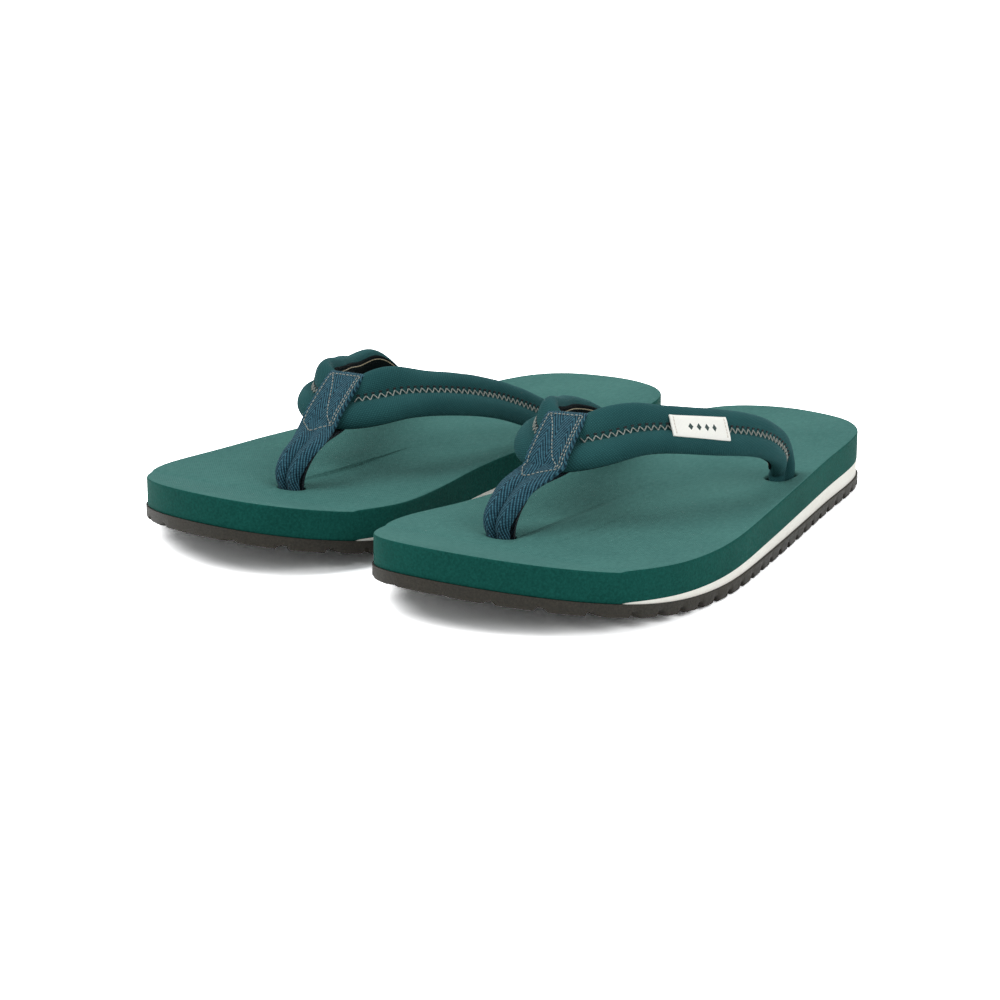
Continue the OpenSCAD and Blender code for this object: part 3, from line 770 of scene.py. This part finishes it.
def groove_depth(x, y):
    """How deep the tread is cut at a place: wavy rows across, and one wavy groove along."""
    from_middle = x - SOLE_MIDDLE_X
    fade = np.clip(1 - np.abs(from_middle) / ROW_WAVE_REACH, 0, 1)
    wavy = y + ROW_WAVE * np.sin(x / ROW_WAVE_L) * fade
    phase = np.abs((wavy / LUG_PITCH) % 1 - 0.5) * LUG_PITCH
    across = np.clip((phase - (LUG_PITCH / 2 - LUG_GAP / 2 - 0.5)) / GROOVE_SLOPE, 0, 1)
    toe = np.clip((y - TOE_FROM_Y) / TOE_BLEND_L, 0, 1)
    around_toe = np.arctan2(from_middle, y - TOE_CENTRE_Y) * TOE_RADIUS
    block = np.abs((around_toe / TOE_LUG_L) % 1 - 0.5) * TOE_LUG_L
    from_block = (block - (TOE_LUG_L / 2 - LUG_GAP / 2 - 0.8)) / TOE_GROOVE_SLOPE
    toe_rows = TOE_GROOVE_DEPTH * np.clip(from_block, 0, 1)
    across = across * (1 - toe) + toe_rows * toe
    from_groove = np.abs(from_middle - MIDDLE_WAVE * np.sin(y / MIDDLE_WAVE_L))
    along = np.clip((MIDDLE_HALF_W - from_groove) / GROOVE_SLOPE, 0, 1)
    depth = np.maximum(across, along)
    return LUG_H * depth * depth * (3 - 2 * depth)


def outsole(side, finishes):
    outline = grown(sole_outline, OUTSOLE_LIP)
    low_y, high_y = outline[:, 1].min(), outline[:, 1].max()
    ys = np.concatenate([low_y + END_ROWS, np.arange(low_y + 1, high_y - 1, ROW_STEP),
                         high_y - END_ROWS[::-1]])
    outer, inner = side_reach(ys, outline, True), side_reach(ys, outline, False)
    rows = []
    for right, left in zip(outer, inner):
        in_from = np.minimum(EDGE_COLUMNS, 0.8 * (right - left) / 2)
        margin = max(in_from[-1], 0.1) + 0.01
        middle = np.linspace(left + margin, right - margin, MIDDLE_COLUMNS)
        rows.append(np.concatenate([left + in_from[:-1], middle, (right - in_from[:-1])[::-1]]))
    x = np.array(rows)
    y = np.repeat(ys[:, None], x.shape[1], 1)
    edge = np.minimum(x - inner[:, None], outer[:, None] - x)
    edge = np.minimum(edge, np.minimum(y - low_y, high_y - y) * 1.5)
    round_up = RUBBER_ROUND * np.clip(1 - edge / RUBBER_ROUND_REACH, 0, 1) ** 2
    under = ground_z(y) + groove_depth(x, y) + round_up
    over = outsole_top_z(y)
    rows_n, cols = x.shape
    below = np.stack([x, y, under], -1).reshape(-1, 3)
    above = np.stack([x, y, over], -1).reshape(-1, 3)
    faces = []
    n = rows_n * cols
    for i in range(rows_n - 1):
        for j in range(cols - 1):
            a, b, c, d = i * cols + j, i * cols + j + 1, (i + 1) * cols + j + 1, (i + 1) * cols + j
            faces.append((a, d, c, b))
            faces.append((n + a, n + b, n + c, n + d))
    rim = list(range(cols)) + [i * cols + cols - 1 for i in range(1, rows_n)]
    rim += [(rows_n - 1) * cols + j for j in range(cols - 2, -1, -1)]
    rim += [i * cols for i in range(rows_n - 2, 0, -1)]
    for a, b in zip(rim, rim[1:] + rim[:1]):
        faces.append((a, b, n + b, n + a))
    piece = new_piece(side, "outsole", np.vstack([below, above]), faces, None, None,
                      (finishes["outsole"],))
    shade(piece, 55)
    finish_piece(piece, side, "outsole_rubber", "outsole")


# ---- Strap: a route over the foot, and places on it (s along, u across in mm, v outwards in mm)
def route():
    points = [(OUTER_SLOT_X, SLOT_Y, SLOT_TOP - 9), (OUTER_SLOT_X, SLOT_Y, SLOT_TOP - SLOT_DEPTH),
              (OUTER_SLOT_X, SLOT_Y, SLOT_TOP + MOUTH_RISE)]
    for out, forward, up in STRAP_ROUTE:
        span = OUTER_SLOT_X - APEX_X if out > 0 else INNER_SLOT_X + APEX_X
        y = SLOT_Y + forward * (POST_Y - SLOT_Y)
        points.append((APEX_X + out * span, y, float(bed_top_z(y)) + up * STRAP_RISE))
    points += [(-INNER_SLOT_X, SLOT_Y, SLOT_TOP + MOUTH_RISE),
               (-INNER_SLOT_X, SLOT_Y, SLOT_TOP - SLOT_DEPTH), (-INNER_SLOT_X, SLOT_Y, SLOT_TOP - 9)]
    return np.array(points)


ROUTE = route()
LAST = len(ROUTE) - 1
APEX_S = LAST / 2
COVER_FROM = 1.0
VISIBLE_FROM = 2.35
# The blunt nose swells on either side of the apex
NOSE_FULLNESS = 2.2
NOSE_S = 0.55
NOSE_HALF = 0.42
NOSE_FORWARD = 0.5
NOSE_SIDEWAYS = 0.75
# Small bends of each shoe's outer arm: place along the strap, half width, rise
OUTER_ARM_BENDS = {"left": [(6.0, 0.75, 2.4)], "right": [(4.75, 0.75, -3.2), (3.7, 0.7, 2.3)]}
OUTER_CORNER_PUSH = {"left": 0.0, "right": 3.0}
CORNER_S = 0.7
CORNER_HALF = 0.5
CORNER_SIDEWAYS = 0.3
# The webbing's squeeze at the apex, and the rear roll's rise on either side of it
SQUEEZE_HALF = 0.38
SQUEEZE_T = 0.12
REAR_ROLL_RISE = 0.4
REAR_ROLL_S = 0.8
REAR_ROLL_HALF = 0.45
# Where a roll is narrower: place from the apex, half width, share of its width
REAR_ROLL_NARROW = ((0.0, SQUEEZE_HALF, 0.11), (-1.1, 0.6, 0.06))
FRONT_ROLL_NARROW = ((-0.95, 0.8, 0.18), (1.1, 0.8, 0.06))


def bell(x, middle, half_width):
    return math.exp(-((x - middle) / half_width) ** 2)


def strap_point(side, s):
    """Middle of the strap. Its apex is blunt, and each shoe's outer arm bends in its own way."""
    i = min(int(math.floor(s)), LAST - 1)
    p = curve(ROUTE[max(i - 1, 0)], ROUTE[i], ROUTE[i + 1], ROUTE[min(i + 2, LAST)], s - i)
    after = NOSE_FULLNESS * bell(s, APEX_S + NOSE_S, NOSE_HALF)
    before = NOSE_FULLNESS * bell(s, APEX_S - NOSE_S, NOSE_HALF)
    rise = sum(high * bell(s, place, half) for place, half, high in OUTER_ARM_BENDS[side])
    push = OUTER_CORNER_PUSH[side] * bell(s, APEX_S - CORNER_S, CORNER_HALF)
    return p + np.array([-NOSE_SIDEWAYS * (after - before) + CORNER_SIDEWAYS * push,
                         NOSE_FORWARD * (after + before) + push, rise])


def strap_axes(side, s):
    """Directions along the strap, across it towards the toe, and out of its outer face."""
    along = unit(strap_point(side, min(s + 0.02, LAST)) - strap_point(side, max(s - 0.02, 0)))
    p = strap_point(side, s)
    up = max(p[2] - SLOT_TOP + SLOT_DEPTH, 0)
    n = np.array([p[0] - APEX_X, FORWARD_LEAN * up, up])
    out = unit(n - n.dot(along) * along)
    return along, np.cross(along, out), out


def taper(s):
    return max(1 - abs(s - APEX_S) / (APEX_S - COVER_FROM), 0)


def width_at(s):
    return STRAP_END_W + (STRAP_W - STRAP_END_W) * taper(s) ** 2


def thick_at(s):
    return STRAP_END_T + (STRAP_T - STRAP_END_T) * taper(s)


def on_strap(side, s, u, v):
    """A place on the strap. The webbing squeezes it at the apex, and its rolls narrow nearby."""
    _, across, out = strap_axes(side, s)
    if u < 0:
        v = v - u * REAR_ROLL_RISE * (bell(s, APEX_S - REAR_ROLL_S, REAR_ROLL_HALF)
                                      + bell(s, APEX_S + REAR_ROLL_S, REAR_ROLL_HALF))
    narrow = REAR_ROLL_NARROW if u < 0 else FRONT_ROLL_NARROW
    u = u * (1 - sum(share * bell(s, APEX_S + place, half) for place, half, share in narrow))
    return strap_point(side, s) + u * across + v * (1 - SQUEEZE_T * bell(s, APEX_S, SQUEEZE_HALF)) * out


def even_stations(start, end, step):
    """Stations along the strap that lie about a step apart in millimetres."""
    fine = np.linspace(start, end, 600)
    run = distances(np.array([strap_point("left", s) for s in fine]))
    count = max(int(round(run[-1] / step)), 2)
    return np.interp(np.linspace(0, run[-1], count + 1), run, fine)


# The strap's section: height of its flat underside and of the groove between the rolls
BELLY = 0.8
GROOVE = 0.42
TOP_POINTS = 44
UNDER_POINTS = 16


def roll_height(u):
    """Height of the strap's outer face, as a share of half its thickness, for u from -1 to 1."""
    u = np.asarray(u, dtype=float)
    lobes = np.sqrt(np.clip(1 - ((np.abs(u) - 0.5) / 0.5) ** 2, 0, 1))
    web = GROOVE * np.sqrt(np.clip(1 - u * u, 0, 1))
    return (lobes ** 5 + web ** 5) ** 0.2


def belly_height(u):
    """Height of the strap's underside, as a share of half its thickness, for u from -1 to 1."""
    return -BELLY * (1 - np.abs(u) ** 3.5) ** 0.5


def cover_section():
    top = np.cos(np.linspace(0, math.pi, TOP_POINTS))
    below = -np.cos(np.linspace(0, math.pi, UNDER_POINTS + 2))[1:-1]
    heights = np.concatenate([roll_height(top), belly_height(below)])
    return np.column_stack([np.concatenate([top, below]), heights])


SEAM_STEP = 1.35
SEAM_HALF_W = 1.1
# Needle holes, near-black marks of painted shade beside the seam: half length, and offset past the seam
NEEDLE_HOLE_HALF_L = 0.55
NEEDLE_HOLE_OUT = 0.45
# How far the seam puckers the cover, and how far the cover lies slack
PUCKER_HALF_W = 2.2
PUCKER = 0.16
SLACK = 0.12


def strap_cover(side, finishes):
    section = cover_section()
    stations = even_stations(COVER_FROM, LAST - COVER_FROM, 0.9)
    run = distances(np.array([strap_point(side, s) for s in stations]))
    rings = []
    for s, length in zip(stations, run):
        half_w, half_t = width_at(s) / 2, thick_at(s) / 2
        u = section[:, 0] * half_w
        pucker = PUCKER * math.sin(math.pi * length / SEAM_STEP) * np.exp(-(u / PUCKER_HALF_W) ** 2)
        slack = SLACK * math.sin(length / 7.0) * np.sin(length / 3.1 + section[:, 0] * 2.0)
        v = section[:, 1] * half_t + (pucker + slack) * (section[:, 1] > 0)
        rings.append([on_strap(side, s, a, b) for a, b in zip(u, v)])
    piece = tube(side, "strap_cover", rings, (finishes["knit"],), v=run)
    shade(piece, 70)
    finish_piece(piece, side, "knit_cover", "strap_cover")


def strap_lining(side, finishes):
    stations = even_stations(VISIBLE_FROM, LAST - VISIBLE_FROM, 1.5)
    across = np.linspace(-0.86, 0.86, 15)
    rings = []
    for s in stations:
        half_w, half_t = width_at(s) / 2, thick_at(s) / 2
        under = belly_height(across) * half_t
        top = [on_strap(side, s, u * half_w, v - 0.1) for u, v in zip(across, under)]
        low = [on_strap(side, s, u * half_w, v - LINING_T) for u, v in zip(across, under)]
        rings.append(low + top[::-1])
    piece = tube(side, "strap_lining", rings, (finishes["lining"],))
    shade(piece, 50)
    finish_piece(piece, side, "lining_fabric", "strap_lining")


# ---- Stitches, laid by one Geometry Nodes tree
# Thread diameter and bow of each kind of stitch
THREADS = {"zigzag_thread": (0.45, 0.35), "needle_holes": (0.75, 0.05), "lining_stitches": (0.45, 0.15),
           "label_thread": (0.32, 0.12), "webbing_thread": (0.42, 0.25)}


def stitch_tree():
    """Lays a bowed, round thread at each point, along its 'along' and away from its 'out'."""
    tree = bpy.data.node_groups.new("stitches", "GeometryNodeTree")
    face = tree.interface
    for name, kind in (("Geometry", "Geometry"), ("Thread Diameter", "Float"), ("Bow", "Float"),
                       ("Material", "Material")):
        face.new_socket(name, in_out="INPUT", socket_type="NodeSocket" + kind)
    face.new_socket("Geometry", in_out="OUTPUT", socket_type="NodeSocketGeometry")

    def add(kind, inputs=(), **settings):
        return add_node(tree, kind, inputs, **settings).outputs

    def named(name, kind):
        return add("GeometryNodeInputNamedAttribute", {"Name": name}, data_type=kind)["Attribute"]

    given = add("NodeGroupInput")
    lift = add("ShaderNodeCombineXYZ", {"Z": given["Bow"]})[0]
    bowed = add("GeometryNodeCurveQuadraticBezier",
                {"Resolution": 4, "Start": (-0.5, 0, 0), "Middle": lift, "End": (0.5, 0, 0)})[0]
    radius = add("ShaderNodeMath", {0: given["Thread Diameter"], 1: 0.5}, operation="MULTIPLY")[0]
    rim = add("GeometryNodeCurvePrimitiveCircle", {"Resolution": 6, "Radius": radius})["Curve"]
    thread = add("GeometryNodeCurveToMesh", {"Curve": bowed, "Profile Curve": rim, "Fill Caps": True})[0]
    turn = add("FunctionNodeAxesToRotation", {0: named("along", "FLOAT_VECTOR"),
                                              1: named("out", "FLOAT_VECTOR")},
               primary_axis="X", secondary_axis="Z")[0]
    size = add("ShaderNodeCombineXYZ", {"X": named("length", "FLOAT"), "Y": 1.0, "Z": 1.0})[0]
    placed = add("GeometryNodeInstanceOnPoints", {"Points": given["Geometry"], "Instance": thread,
                                                  "Rotation": turn, "Scale": size})[0]
    real = add("GeometryNodeRealizeInstances", {0: placed})[0]
    smooth = add("GeometryNodeSetShadeSmooth", {0: real})[0]
    coloured = add("GeometryNodeSetMaterial", {0: smooth, "Material": given["Material"]})[0]
    add("NodeGroupOutput", {0: coloured})
    return tree


def sew(side, name, tree, stitches, material):
    """One mesh of stitches. Each stitch is (start, end, outward direction) in a shoe's own frame."""
    thread_mm, bow_mm = THREADS[name]
    starts = to_frame(side, [s[0] for s in stitches])
    ends = to_frame(side, [s[1] for s in stitches])
    middles = np.array([(np.asarray(s[0]) + np.asarray(s[1])) / 2 for s in stitches])
    tips = to_frame(side, middles + np.array([s[2] for s in stitches]))
    middles = to_frame(side, middles)
    lengths = np.linalg.norm(ends - starts, axis=1)
    mesh = bpy.data.meshes.new(f"{side}_{name}_look")
    mesh.from_pydata([tuple(p) for p in middles], [], [])
    for attribute, kind, values in (("along", "FLOAT_VECTOR", unit(ends - starts)),
                                    ("out", "FLOAT_VECTOR", unit(tips - middles)),
                                    ("length", "FLOAT", lengths)):
        layer = mesh.attributes.new(attribute, kind, "POINT")
        key = "vector" if kind == "FLOAT_VECTOR" else "value"
        layer.data.foreach_set(key, np.asarray(values, dtype=np.float32).ravel())
    piece = bpy.data.objects.new(f"{side}_{name}_look", mesh)
    bpy.context.collection.objects.link(piece)
    modifier = piece.modifiers.new("stitches", "NODES")
    modifier.node_group = tree
    values = {"Thread Diameter": thread_mm * MM, "Bow": bow_mm * MM, "Material": material}
    for item in tree.interface.items_tree:
        if item.in_out == "INPUT" and item.name in values:
            modifier[item.identifier] = values[item.name]
    apply_modifiers(piece)
    return piece


def seam_height(s, u):
    """Outwards place of the strap's outer face at u millimetres from its middle."""
    return float(roll_height(u / (width_at(s) / 2))) * thick_at(s) / 2


def zigzag_between(side, start, end):
    stations = even_stations(start, end, SEAM_STEP)
    stitches, holes = [], []
    for i, (a, b) in enumerate(zip(stations, stations[1:])):
        here = SEAM_HALF_W if i % 2 == 0 else -SEAM_HALF_W
        stitches.append((on_strap(side, a, here, seam_height(a, SEAM_HALF_W)),
                         on_strap(side, b, -here, seam_height(b, SEAM_HALF_W)),
                         strap_axes(side, (a + b) / 2)[2]))
        # Beside every other stitch, a near-black mark of painted shade stands for a needle hole
        if here < 0:
            along, _, out = strap_axes(side, a)
            reach = NEEDLE_HOLE_HALF_L * along
            hole_u = SEAM_HALF_W + NEEDLE_HOLE_OUT
            place = on_strap(side, a, -hole_u, seam_height(a, hole_u) - 0.05)
            holes.append((place - reach, place + reach, out))
    return stitches, holes


def zigzag_thread(side, finishes, tree):
    label_low, label_high = label_range()
    stitches, holes = [], []
    for start, end in ((VISIBLE_FROM, label_low + 0.03), (label_high - 0.03, APEX_S - WEB_REACH),
                       (APEX_S + WEB_REACH, LAST - VISIBLE_FROM)):
        more, more_holes = zigzag_between(side, start, end)
        stitches += more
        holes += more_holes
    piece = sew(side, "zigzag_thread", tree, stitches, finishes["thread"])
    finish_piece(piece, side, "sewing_thread", "zigzag_thread")
    marks = sew(side, "needle_holes", tree, holes, finishes["needle_hole_shade"])
    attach(marks, f"{side}_shoe")


# The lining's two rows of stitches: place across, as a share of the half width, and spacing
LINING_SEAM = 0.72
LINING_SEAM_FROM = 2.5
LINING_SEAM_STEP = 2.6


def lining_stitches(side, finishes, tree):
    stitches = []
    stations = even_stations(LINING_SEAM_FROM, LAST - LINING_SEAM_FROM, LINING_SEAM_STEP)
    for edge in (-LINING_SEAM, LINING_SEAM):
        for a, b in zip(stations, stations[1:]):
            ends = []
            for s in (a, a + 0.85 * (b - a)):
                v = belly_height(edge) * thick_at(s) / 2 - LINING_T
                ends.append(on_strap(side, s, edge * width_at(s) / 2, v))
            stitches.append((ends[0], ends[1], -strap_axes(side, a)[2]))
    piece = sew(side, "lining_stitches", tree, stitches, finishes["tan_thread"])
    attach(piece, f"{side}_shoe")


# ---- Label
LABEL_LIFT = 0.35
LABEL_SEAM_INSET = 1.2
LABEL_STITCHES = 6


def label_range():
    rate = np.linalg.norm(strap_point("left", LABEL_S + 0.5) - strap_point("left", LABEL_S - 0.5))
    span = LABEL_L / rate
    return LABEL_S - span / 2, LABEL_S + span / 2


def label_point(side, s, u, lift):
    """A place on the label, which is stretched flat over the roll and dips at its two edges."""
    share = (u - LABEL_U) / (LABEL_W / 2)
    height = thick_at(s) / 2 + LABEL_LIFT * (1 - share ** 4) - 0.1 * (1 - abs(share))
    return on_strap(side, s, u, height + lift)


def label(side, finishes):
    low, high = label_range()
    us = np.linspace(LABEL_U - LABEL_W / 2, LABEL_U + LABEL_W / 2, 15)
    rings = []
    for s in np.linspace(low, high, 28):
        fold = 0.25 * (bell(s, low, 0.05) + bell(s, high, 0.05))
        over = [label_point(side, s, u, 0.3 + fold) for u in us]
        under = [label_point(side, s, u, -0.15) for u in us]
        rings.append(over + under[::-1])
    rings = np.array(rings)
    across = np.concatenate([us - us[0], (us - us[0])[::-1], [0.0]])
    piece = tube(side, "label", rings, (finishes["label"],), u=across, v=np.linspace(0, LABEL_L, 28))
    shade(piece, 50)
    finish_piece(piece, side, "label_weave", "label")


def label_thread(side, finishes, tree):
    low, high = label_range()
    inset = LABEL_SEAM_INSET / LABEL_L * (high - low)
    stitches = []
    for s in (low + inset, high - inset):
        places = np.linspace(LABEL_U - LABEL_W / 2 + 0.7, LABEL_U + LABEL_W / 2 - 0.7, LABEL_STITCHES + 1)
        for a, b in zip(places, places[1:]):
            ends = (label_point(side, s, a, 0.42), label_point(side, s, a + 0.75 * (b - a), 0.42))
            stitches.append((*ends, strap_axes(side, s)[2]))
    piece = sew(side, "label_thread", tree, stitches, finishes["label_thread"])
    finish_piece(piece, side, "sewing_thread", "label_thread")


# ---- Toe webbing: a flat patch over the strap's apex that rolls into a post at the toe hole
WEB_ACROSS = 33
WEB_STEPS = 8
WEB_REACH = 0.29
# On the strap, rear edge to front edge: place across the strap, and height over its middle
PATCH_ROWS = [(-12.6, -0.6), (-12.7, 1.6), (-11.7, 3.6), (-9.0, 4.45), (-4.0, 4.75), (3.0, 4.8), (9.0, 4.6),
              (12.3, 3.9)]
# Down to the toe hole: place from the hole (x, y, height), width, and fold of each half in degrees
POST_ROWS = [(1.4, -16.5, 18.4, 15.7, 15), (-0.2, -10.5, 15.9, 15.4, 36), (-0.9, -4.5, 11.9, 15.2, 58),
             (-1.6, -0.7, 7.4, 14.8, 74), (-1.9, 0.6, 3.4, 13.0, 84), (-1.3, 0.4, 0.0, 11.6, 88),
             (-1.1, 0.0, -5.0, 11.0, 88)]
CREASE_ROUND = 0.1
# The right shoe's post leans the other way, from this place behind the hole
RIGHT_POST_FROM_Y = -6.0
RIGHT_POST_SHIFT = -0.8


def patch_row(side, u, v):
    along, across, out = strap_axes(side, APEX_S)
    centre = strap_point(side, APEX_S) + u * across + v * out
    return np.array([centre - k * WEB_W / 2 * along for k in np.linspace(-1, 1, WEB_ACROSS)])


def folded_section(width, fold):
    """Across and forward places of a band whose halves each bulge forward on either side of a crease."""
    share = np.linspace(0, 1, WEB_ACROSS // 2 + 1)
    middle = (share[1:] + share[:-1]) / 2
    angle = np.radians(fold) * (1 - 2 * middle) * np.minimum(middle / CREASE_ROUND, 1)
    step = width / 2 / (len(share) - 1)
    aside = np.concatenate([[0], np.cumsum(np.cos(angle) * step)])
    forward = np.concatenate([[0], np.cumsum(np.sin(angle) * step)])
    forward -= forward.mean()
    return np.concatenate([-aside[:0:-1], aside]), np.concatenate([forward[:0:-1], forward])


def post_row(side, before, row, after):
    x, y, z, width, fold = row
    if side == "right" and y > RIGHT_POST_FROM_Y:
        x = RIGHT_POST_SHIFT * x
    down = unit(np.array([0.0, after[1] - before[1], after[2] - before[2]]))
    sideways = np.array([1.0, 0.0, 0.0])
    front = np.cross(sideways, down)
    centre = np.array([POST_X + x, POST_Y + y, POST_TOP + z])
    aside, forward = folded_section(width, fold)
    return centre + aside[:, None] * sideways + forward[:, None] * front


def web_grid(side):
    rows = [patch_row(side, u, v) for u, v in PATCH_ROWS]
    n = len(POST_ROWS)
    for i, row in enumerate(POST_ROWS):
        rows.append(post_row(side, POST_ROWS[max(i - 1, 0)], row, POST_ROWS[min(i + 1, n - 1)]))
    return open_curve(rows, WEB_STEPS)


def surface_out(grid):
    """Outward direction at each place of a grid of points."""
    down = np.gradient(grid, axis=0)
    sideways = np.gradient(grid, axis=1)
    return unit(np.cross(sideways, down))


def toe_webbing(side, finishes):
    grid = web_grid(side)
    out = surface_out(grid)
    rings = []
    for row, up in zip(grid, out):
        over = row + up * WEB_T / 2
        under = (row - up * WEB_T / 2)[::-1]
        rings.append(np.vstack([over, under]))
    across = np.linspace(0, WEB_W, WEB_ACROSS)
    u = np.concatenate([across, across[::-1], [0.0]])
    v = distances(grid[:, WEB_ACROSS // 2])
    piece = tube(side, "toe_webbing", rings, (finishes["webbing"],), u=u, v=v)
    bevel = piece.modifiers.new("edge", "BEVEL")
    bevel.width = 0.0003
    bevel.segments = 2
    bevel.limit_method = "ANGLE"
    bevel.angle_limit = math.radians(60)
    apply_modifiers(piece)
    shade(piece, 60)
    finish_piece(piece, side, "toe_webbing", "toe_webbing")
    return grid, out


# Behind the webbing, a liner dark as painted shade: place from the toe hole (y, height)
LINER_ROWS = [(-15.5, 14.2), (-9.5, 10.6), (-5.0, 6.0), (-3.0, 1.5), (-2.6, -5.0)]
LINER_W = 9.0
LINER_HALF_T = 0.55
LINER_DROP = 1.2
LINER_SHARES = (-0.45, 0.0, 0.5)
LINER_ASIDE = {"left": -0.9, "right": 0.9}


def toe_web_liner(side, finishes):
    under_v = -(BELLY * STRAP_T / 2 + LINING_T + LINER_DROP)
    along, across, out = strap_axes(side, APEX_S)
    middle = strap_point(side, APEX_S)
    centres = [middle + u * STRAP_W / 2 * across + under_v * out for u in LINER_SHARES]
    centres += [np.array([POST_X + LINER_ASIDE[side], POST_Y + y, POST_TOP + z]) for y, z in LINER_ROWS]
    path = open_curve(centres, 6)
    rings = []
    for i, p in enumerate(path):
        down = unit(path[min(i + 1, len(path) - 1)] - path[max(i - 1, 0)])
        normal = unit(np.cross(down, along))
        row = [p - k * LINER_W / 2 * along for k in np.linspace(-1, 1, 9)]
        over = [place + LINER_HALF_T * normal for place in row]
        under = [place - LINER_HALF_T * normal for place in row[::-1]]
        rings.append(over + under)
    # The liner's near-black weave is painted shade in the fold behind the post
    piece = tube(side, "toe_web_liner", rings, (finishes["web_liner"],))
    recalculate(piece)
    shade(piece, 60)
    finish_piece(piece, side, "web_liner", "toe_web_liner")


def recalculate(piece):
    work = bmesh.new()
    work.from_mesh(piece.data)
    bmesh.ops.recalc_face_normals(work, faces=work.faces)
    work.to_mesh(piece.data)
    work.free()


# Rows of box stitching: from and to, each as the webbing's row number and a share of its width
BOX_ROWS = [((2.7, 0.08), (2.7, 0.92)), ((2.7, 0.08), (7.4, 0.08)), ((2.7, 0.93), (7.3, 0.93)),
            ((2.9, 0.87), (7.2, 0.86)), ((2.8, 0.13), (5.0, 0.5)), ((5.0, 0.5), (7.3, 0.86)),
            ((7.4, 0.08), (8.3, 0.36)), ((8.3, 0.36), (7.3, 0.93))]
STITCH_L = 1.7


def webbing_thread(side, finishes, tree, grid, out):
    def at(row, share):
        r, c = row * WEB_STEPS, share * (WEB_ACROSS - 1)
        r0, c0 = int(r), min(int(c), WEB_ACROSS - 2)
        place, up = np.zeros(3), np.zeros(3)
        for dr, wr in ((0, 1 - (r - r0)), (1, r - r0)):
            for dc, wc in ((0, 1 - (c - c0)), (1, c - c0)):
                place += wr * wc * grid[r0 + dr, c0 + dc]
                up += wr * wc * out[r0 + dr, c0 + dc]
        up = unit(up)
        return place + up * (WEB_T / 2 + 0.05), up

    stitches = []
    for (r0, c0), (r1, c1) in BOX_ROWS:
        if side == "right":
            c0, c1 = 1 - c0, 1 - c1
        shares = np.linspace(0, 1, 40)
        run = [at(r0 + (r1 - r0) * t, c0 + (c1 - c0) * t)[0] for t in shares]
        length = distances(np.array(run))
        count = max(int(round(length[-1] / STITCH_L)), 1)
        for i in range(count):
            ends = []
            for share in (i + 0.16, i + 0.8):
                t = np.interp(share / count * length[-1], length, shares)
                ends.append(at(r0 + (r1 - r0) * t, c0 + (c1 - c0) * t))
            stitches.append((ends[0][0], ends[1][0], ends[0][1]))
    piece = sew(side, "webbing_thread", tree, stitches, finishes["thread"])
    finish_piece(piece, side, "sewing_thread", "webbing_thread")


# ---- Inside the strap and the footbed
COVER_T = 0.9
TAPE_T = 1.2
TAPE_HALF_W = 4.0
FOAM_OVER_TAPE = 1.45


def inside_floor(s):
    """Where the tape lies, under the foam."""
    return -0.6 * (thick_at(s) / 2 - COVER_T)


def foam_roll(side, finishes, name, towards):
    angles = np.linspace(0, 2 * math.pi, 20, endpoint=False)
    rings = []
    for s in even_stations(3, LAST - 3, 2.5):
        half_w = width_at(s) / 2 - COVER_T
        low, high = inside_floor(s) + FOAM_OVER_TAPE, 0.84 * (thick_at(s) / 2 - COVER_T)
        rings.append([on_strap(side, s, half_w * (0.5 * towards + 0.42 * math.cos(a)),
                               (low + high) / 2 + (high - low) / 2 * math.sin(a)) for a in angles])
    piece = tube(side, name, rings, (finishes["foam"],))
    recalculate(piece)
    shade(piece, 60)
    finish_piece(piece, side, "padding_foam", name)


def core_tape(side, finishes):
    rings = []
    for s in even_stations(0, LAST, 2.0):
        low = inside_floor(s)
        corners = ((TAPE_HALF_W, low), (TAPE_HALF_W, low + TAPE_T), (-TAPE_HALF_W, low + TAPE_T),
                   (-TAPE_HALF_W, low))
        rings.append([on_strap(side, s, u, v) for u, v in corners])
    piece = tube(side, "core_tape", rings, (finishes["tape"],))
    recalculate(piece)
    shade(piece, 40)
    finish_piece(piece, side, "core_tape", "core_tape")


def anchors(side, finishes):
    for name in ("toe_anchor", "outer_side_anchor", "inner_side_anchor"):
        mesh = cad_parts[f"{side}_{name}"].data
        mesh.materials.clear()
        mesh.materials.append(finishes["anchor"])


def shoe(side, finishes, tree):
    footbed(side, finishes)
    heel_wedge(side, finishes)
    outsole(side, finishes)
    strap_cover(side, finishes)
    strap_lining(side, finishes)
    lining_stitches(side, finishes, tree)
    grid, out = toe_webbing(side, finishes)
    toe_web_liner(side, finishes)
    webbing_thread(side, finishes, tree, grid, out)
    zigzag_thread(side, finishes, tree)
    label(side, finishes)
    label_thread(side, finishes, tree)
    foam_roll(side, finishes, "front_foam_roll", 1)
    foam_roll(side, finishes, "rear_foam_roll", -1)
    core_tape(side, finishes)
    anchors(side, finishes)


studio()
all_parts = all_finishes()
stitches_tree = stitch_tree()
for shoe_side in SIDES:
    shoe(shoe_side, all_parts, stitches_tree)
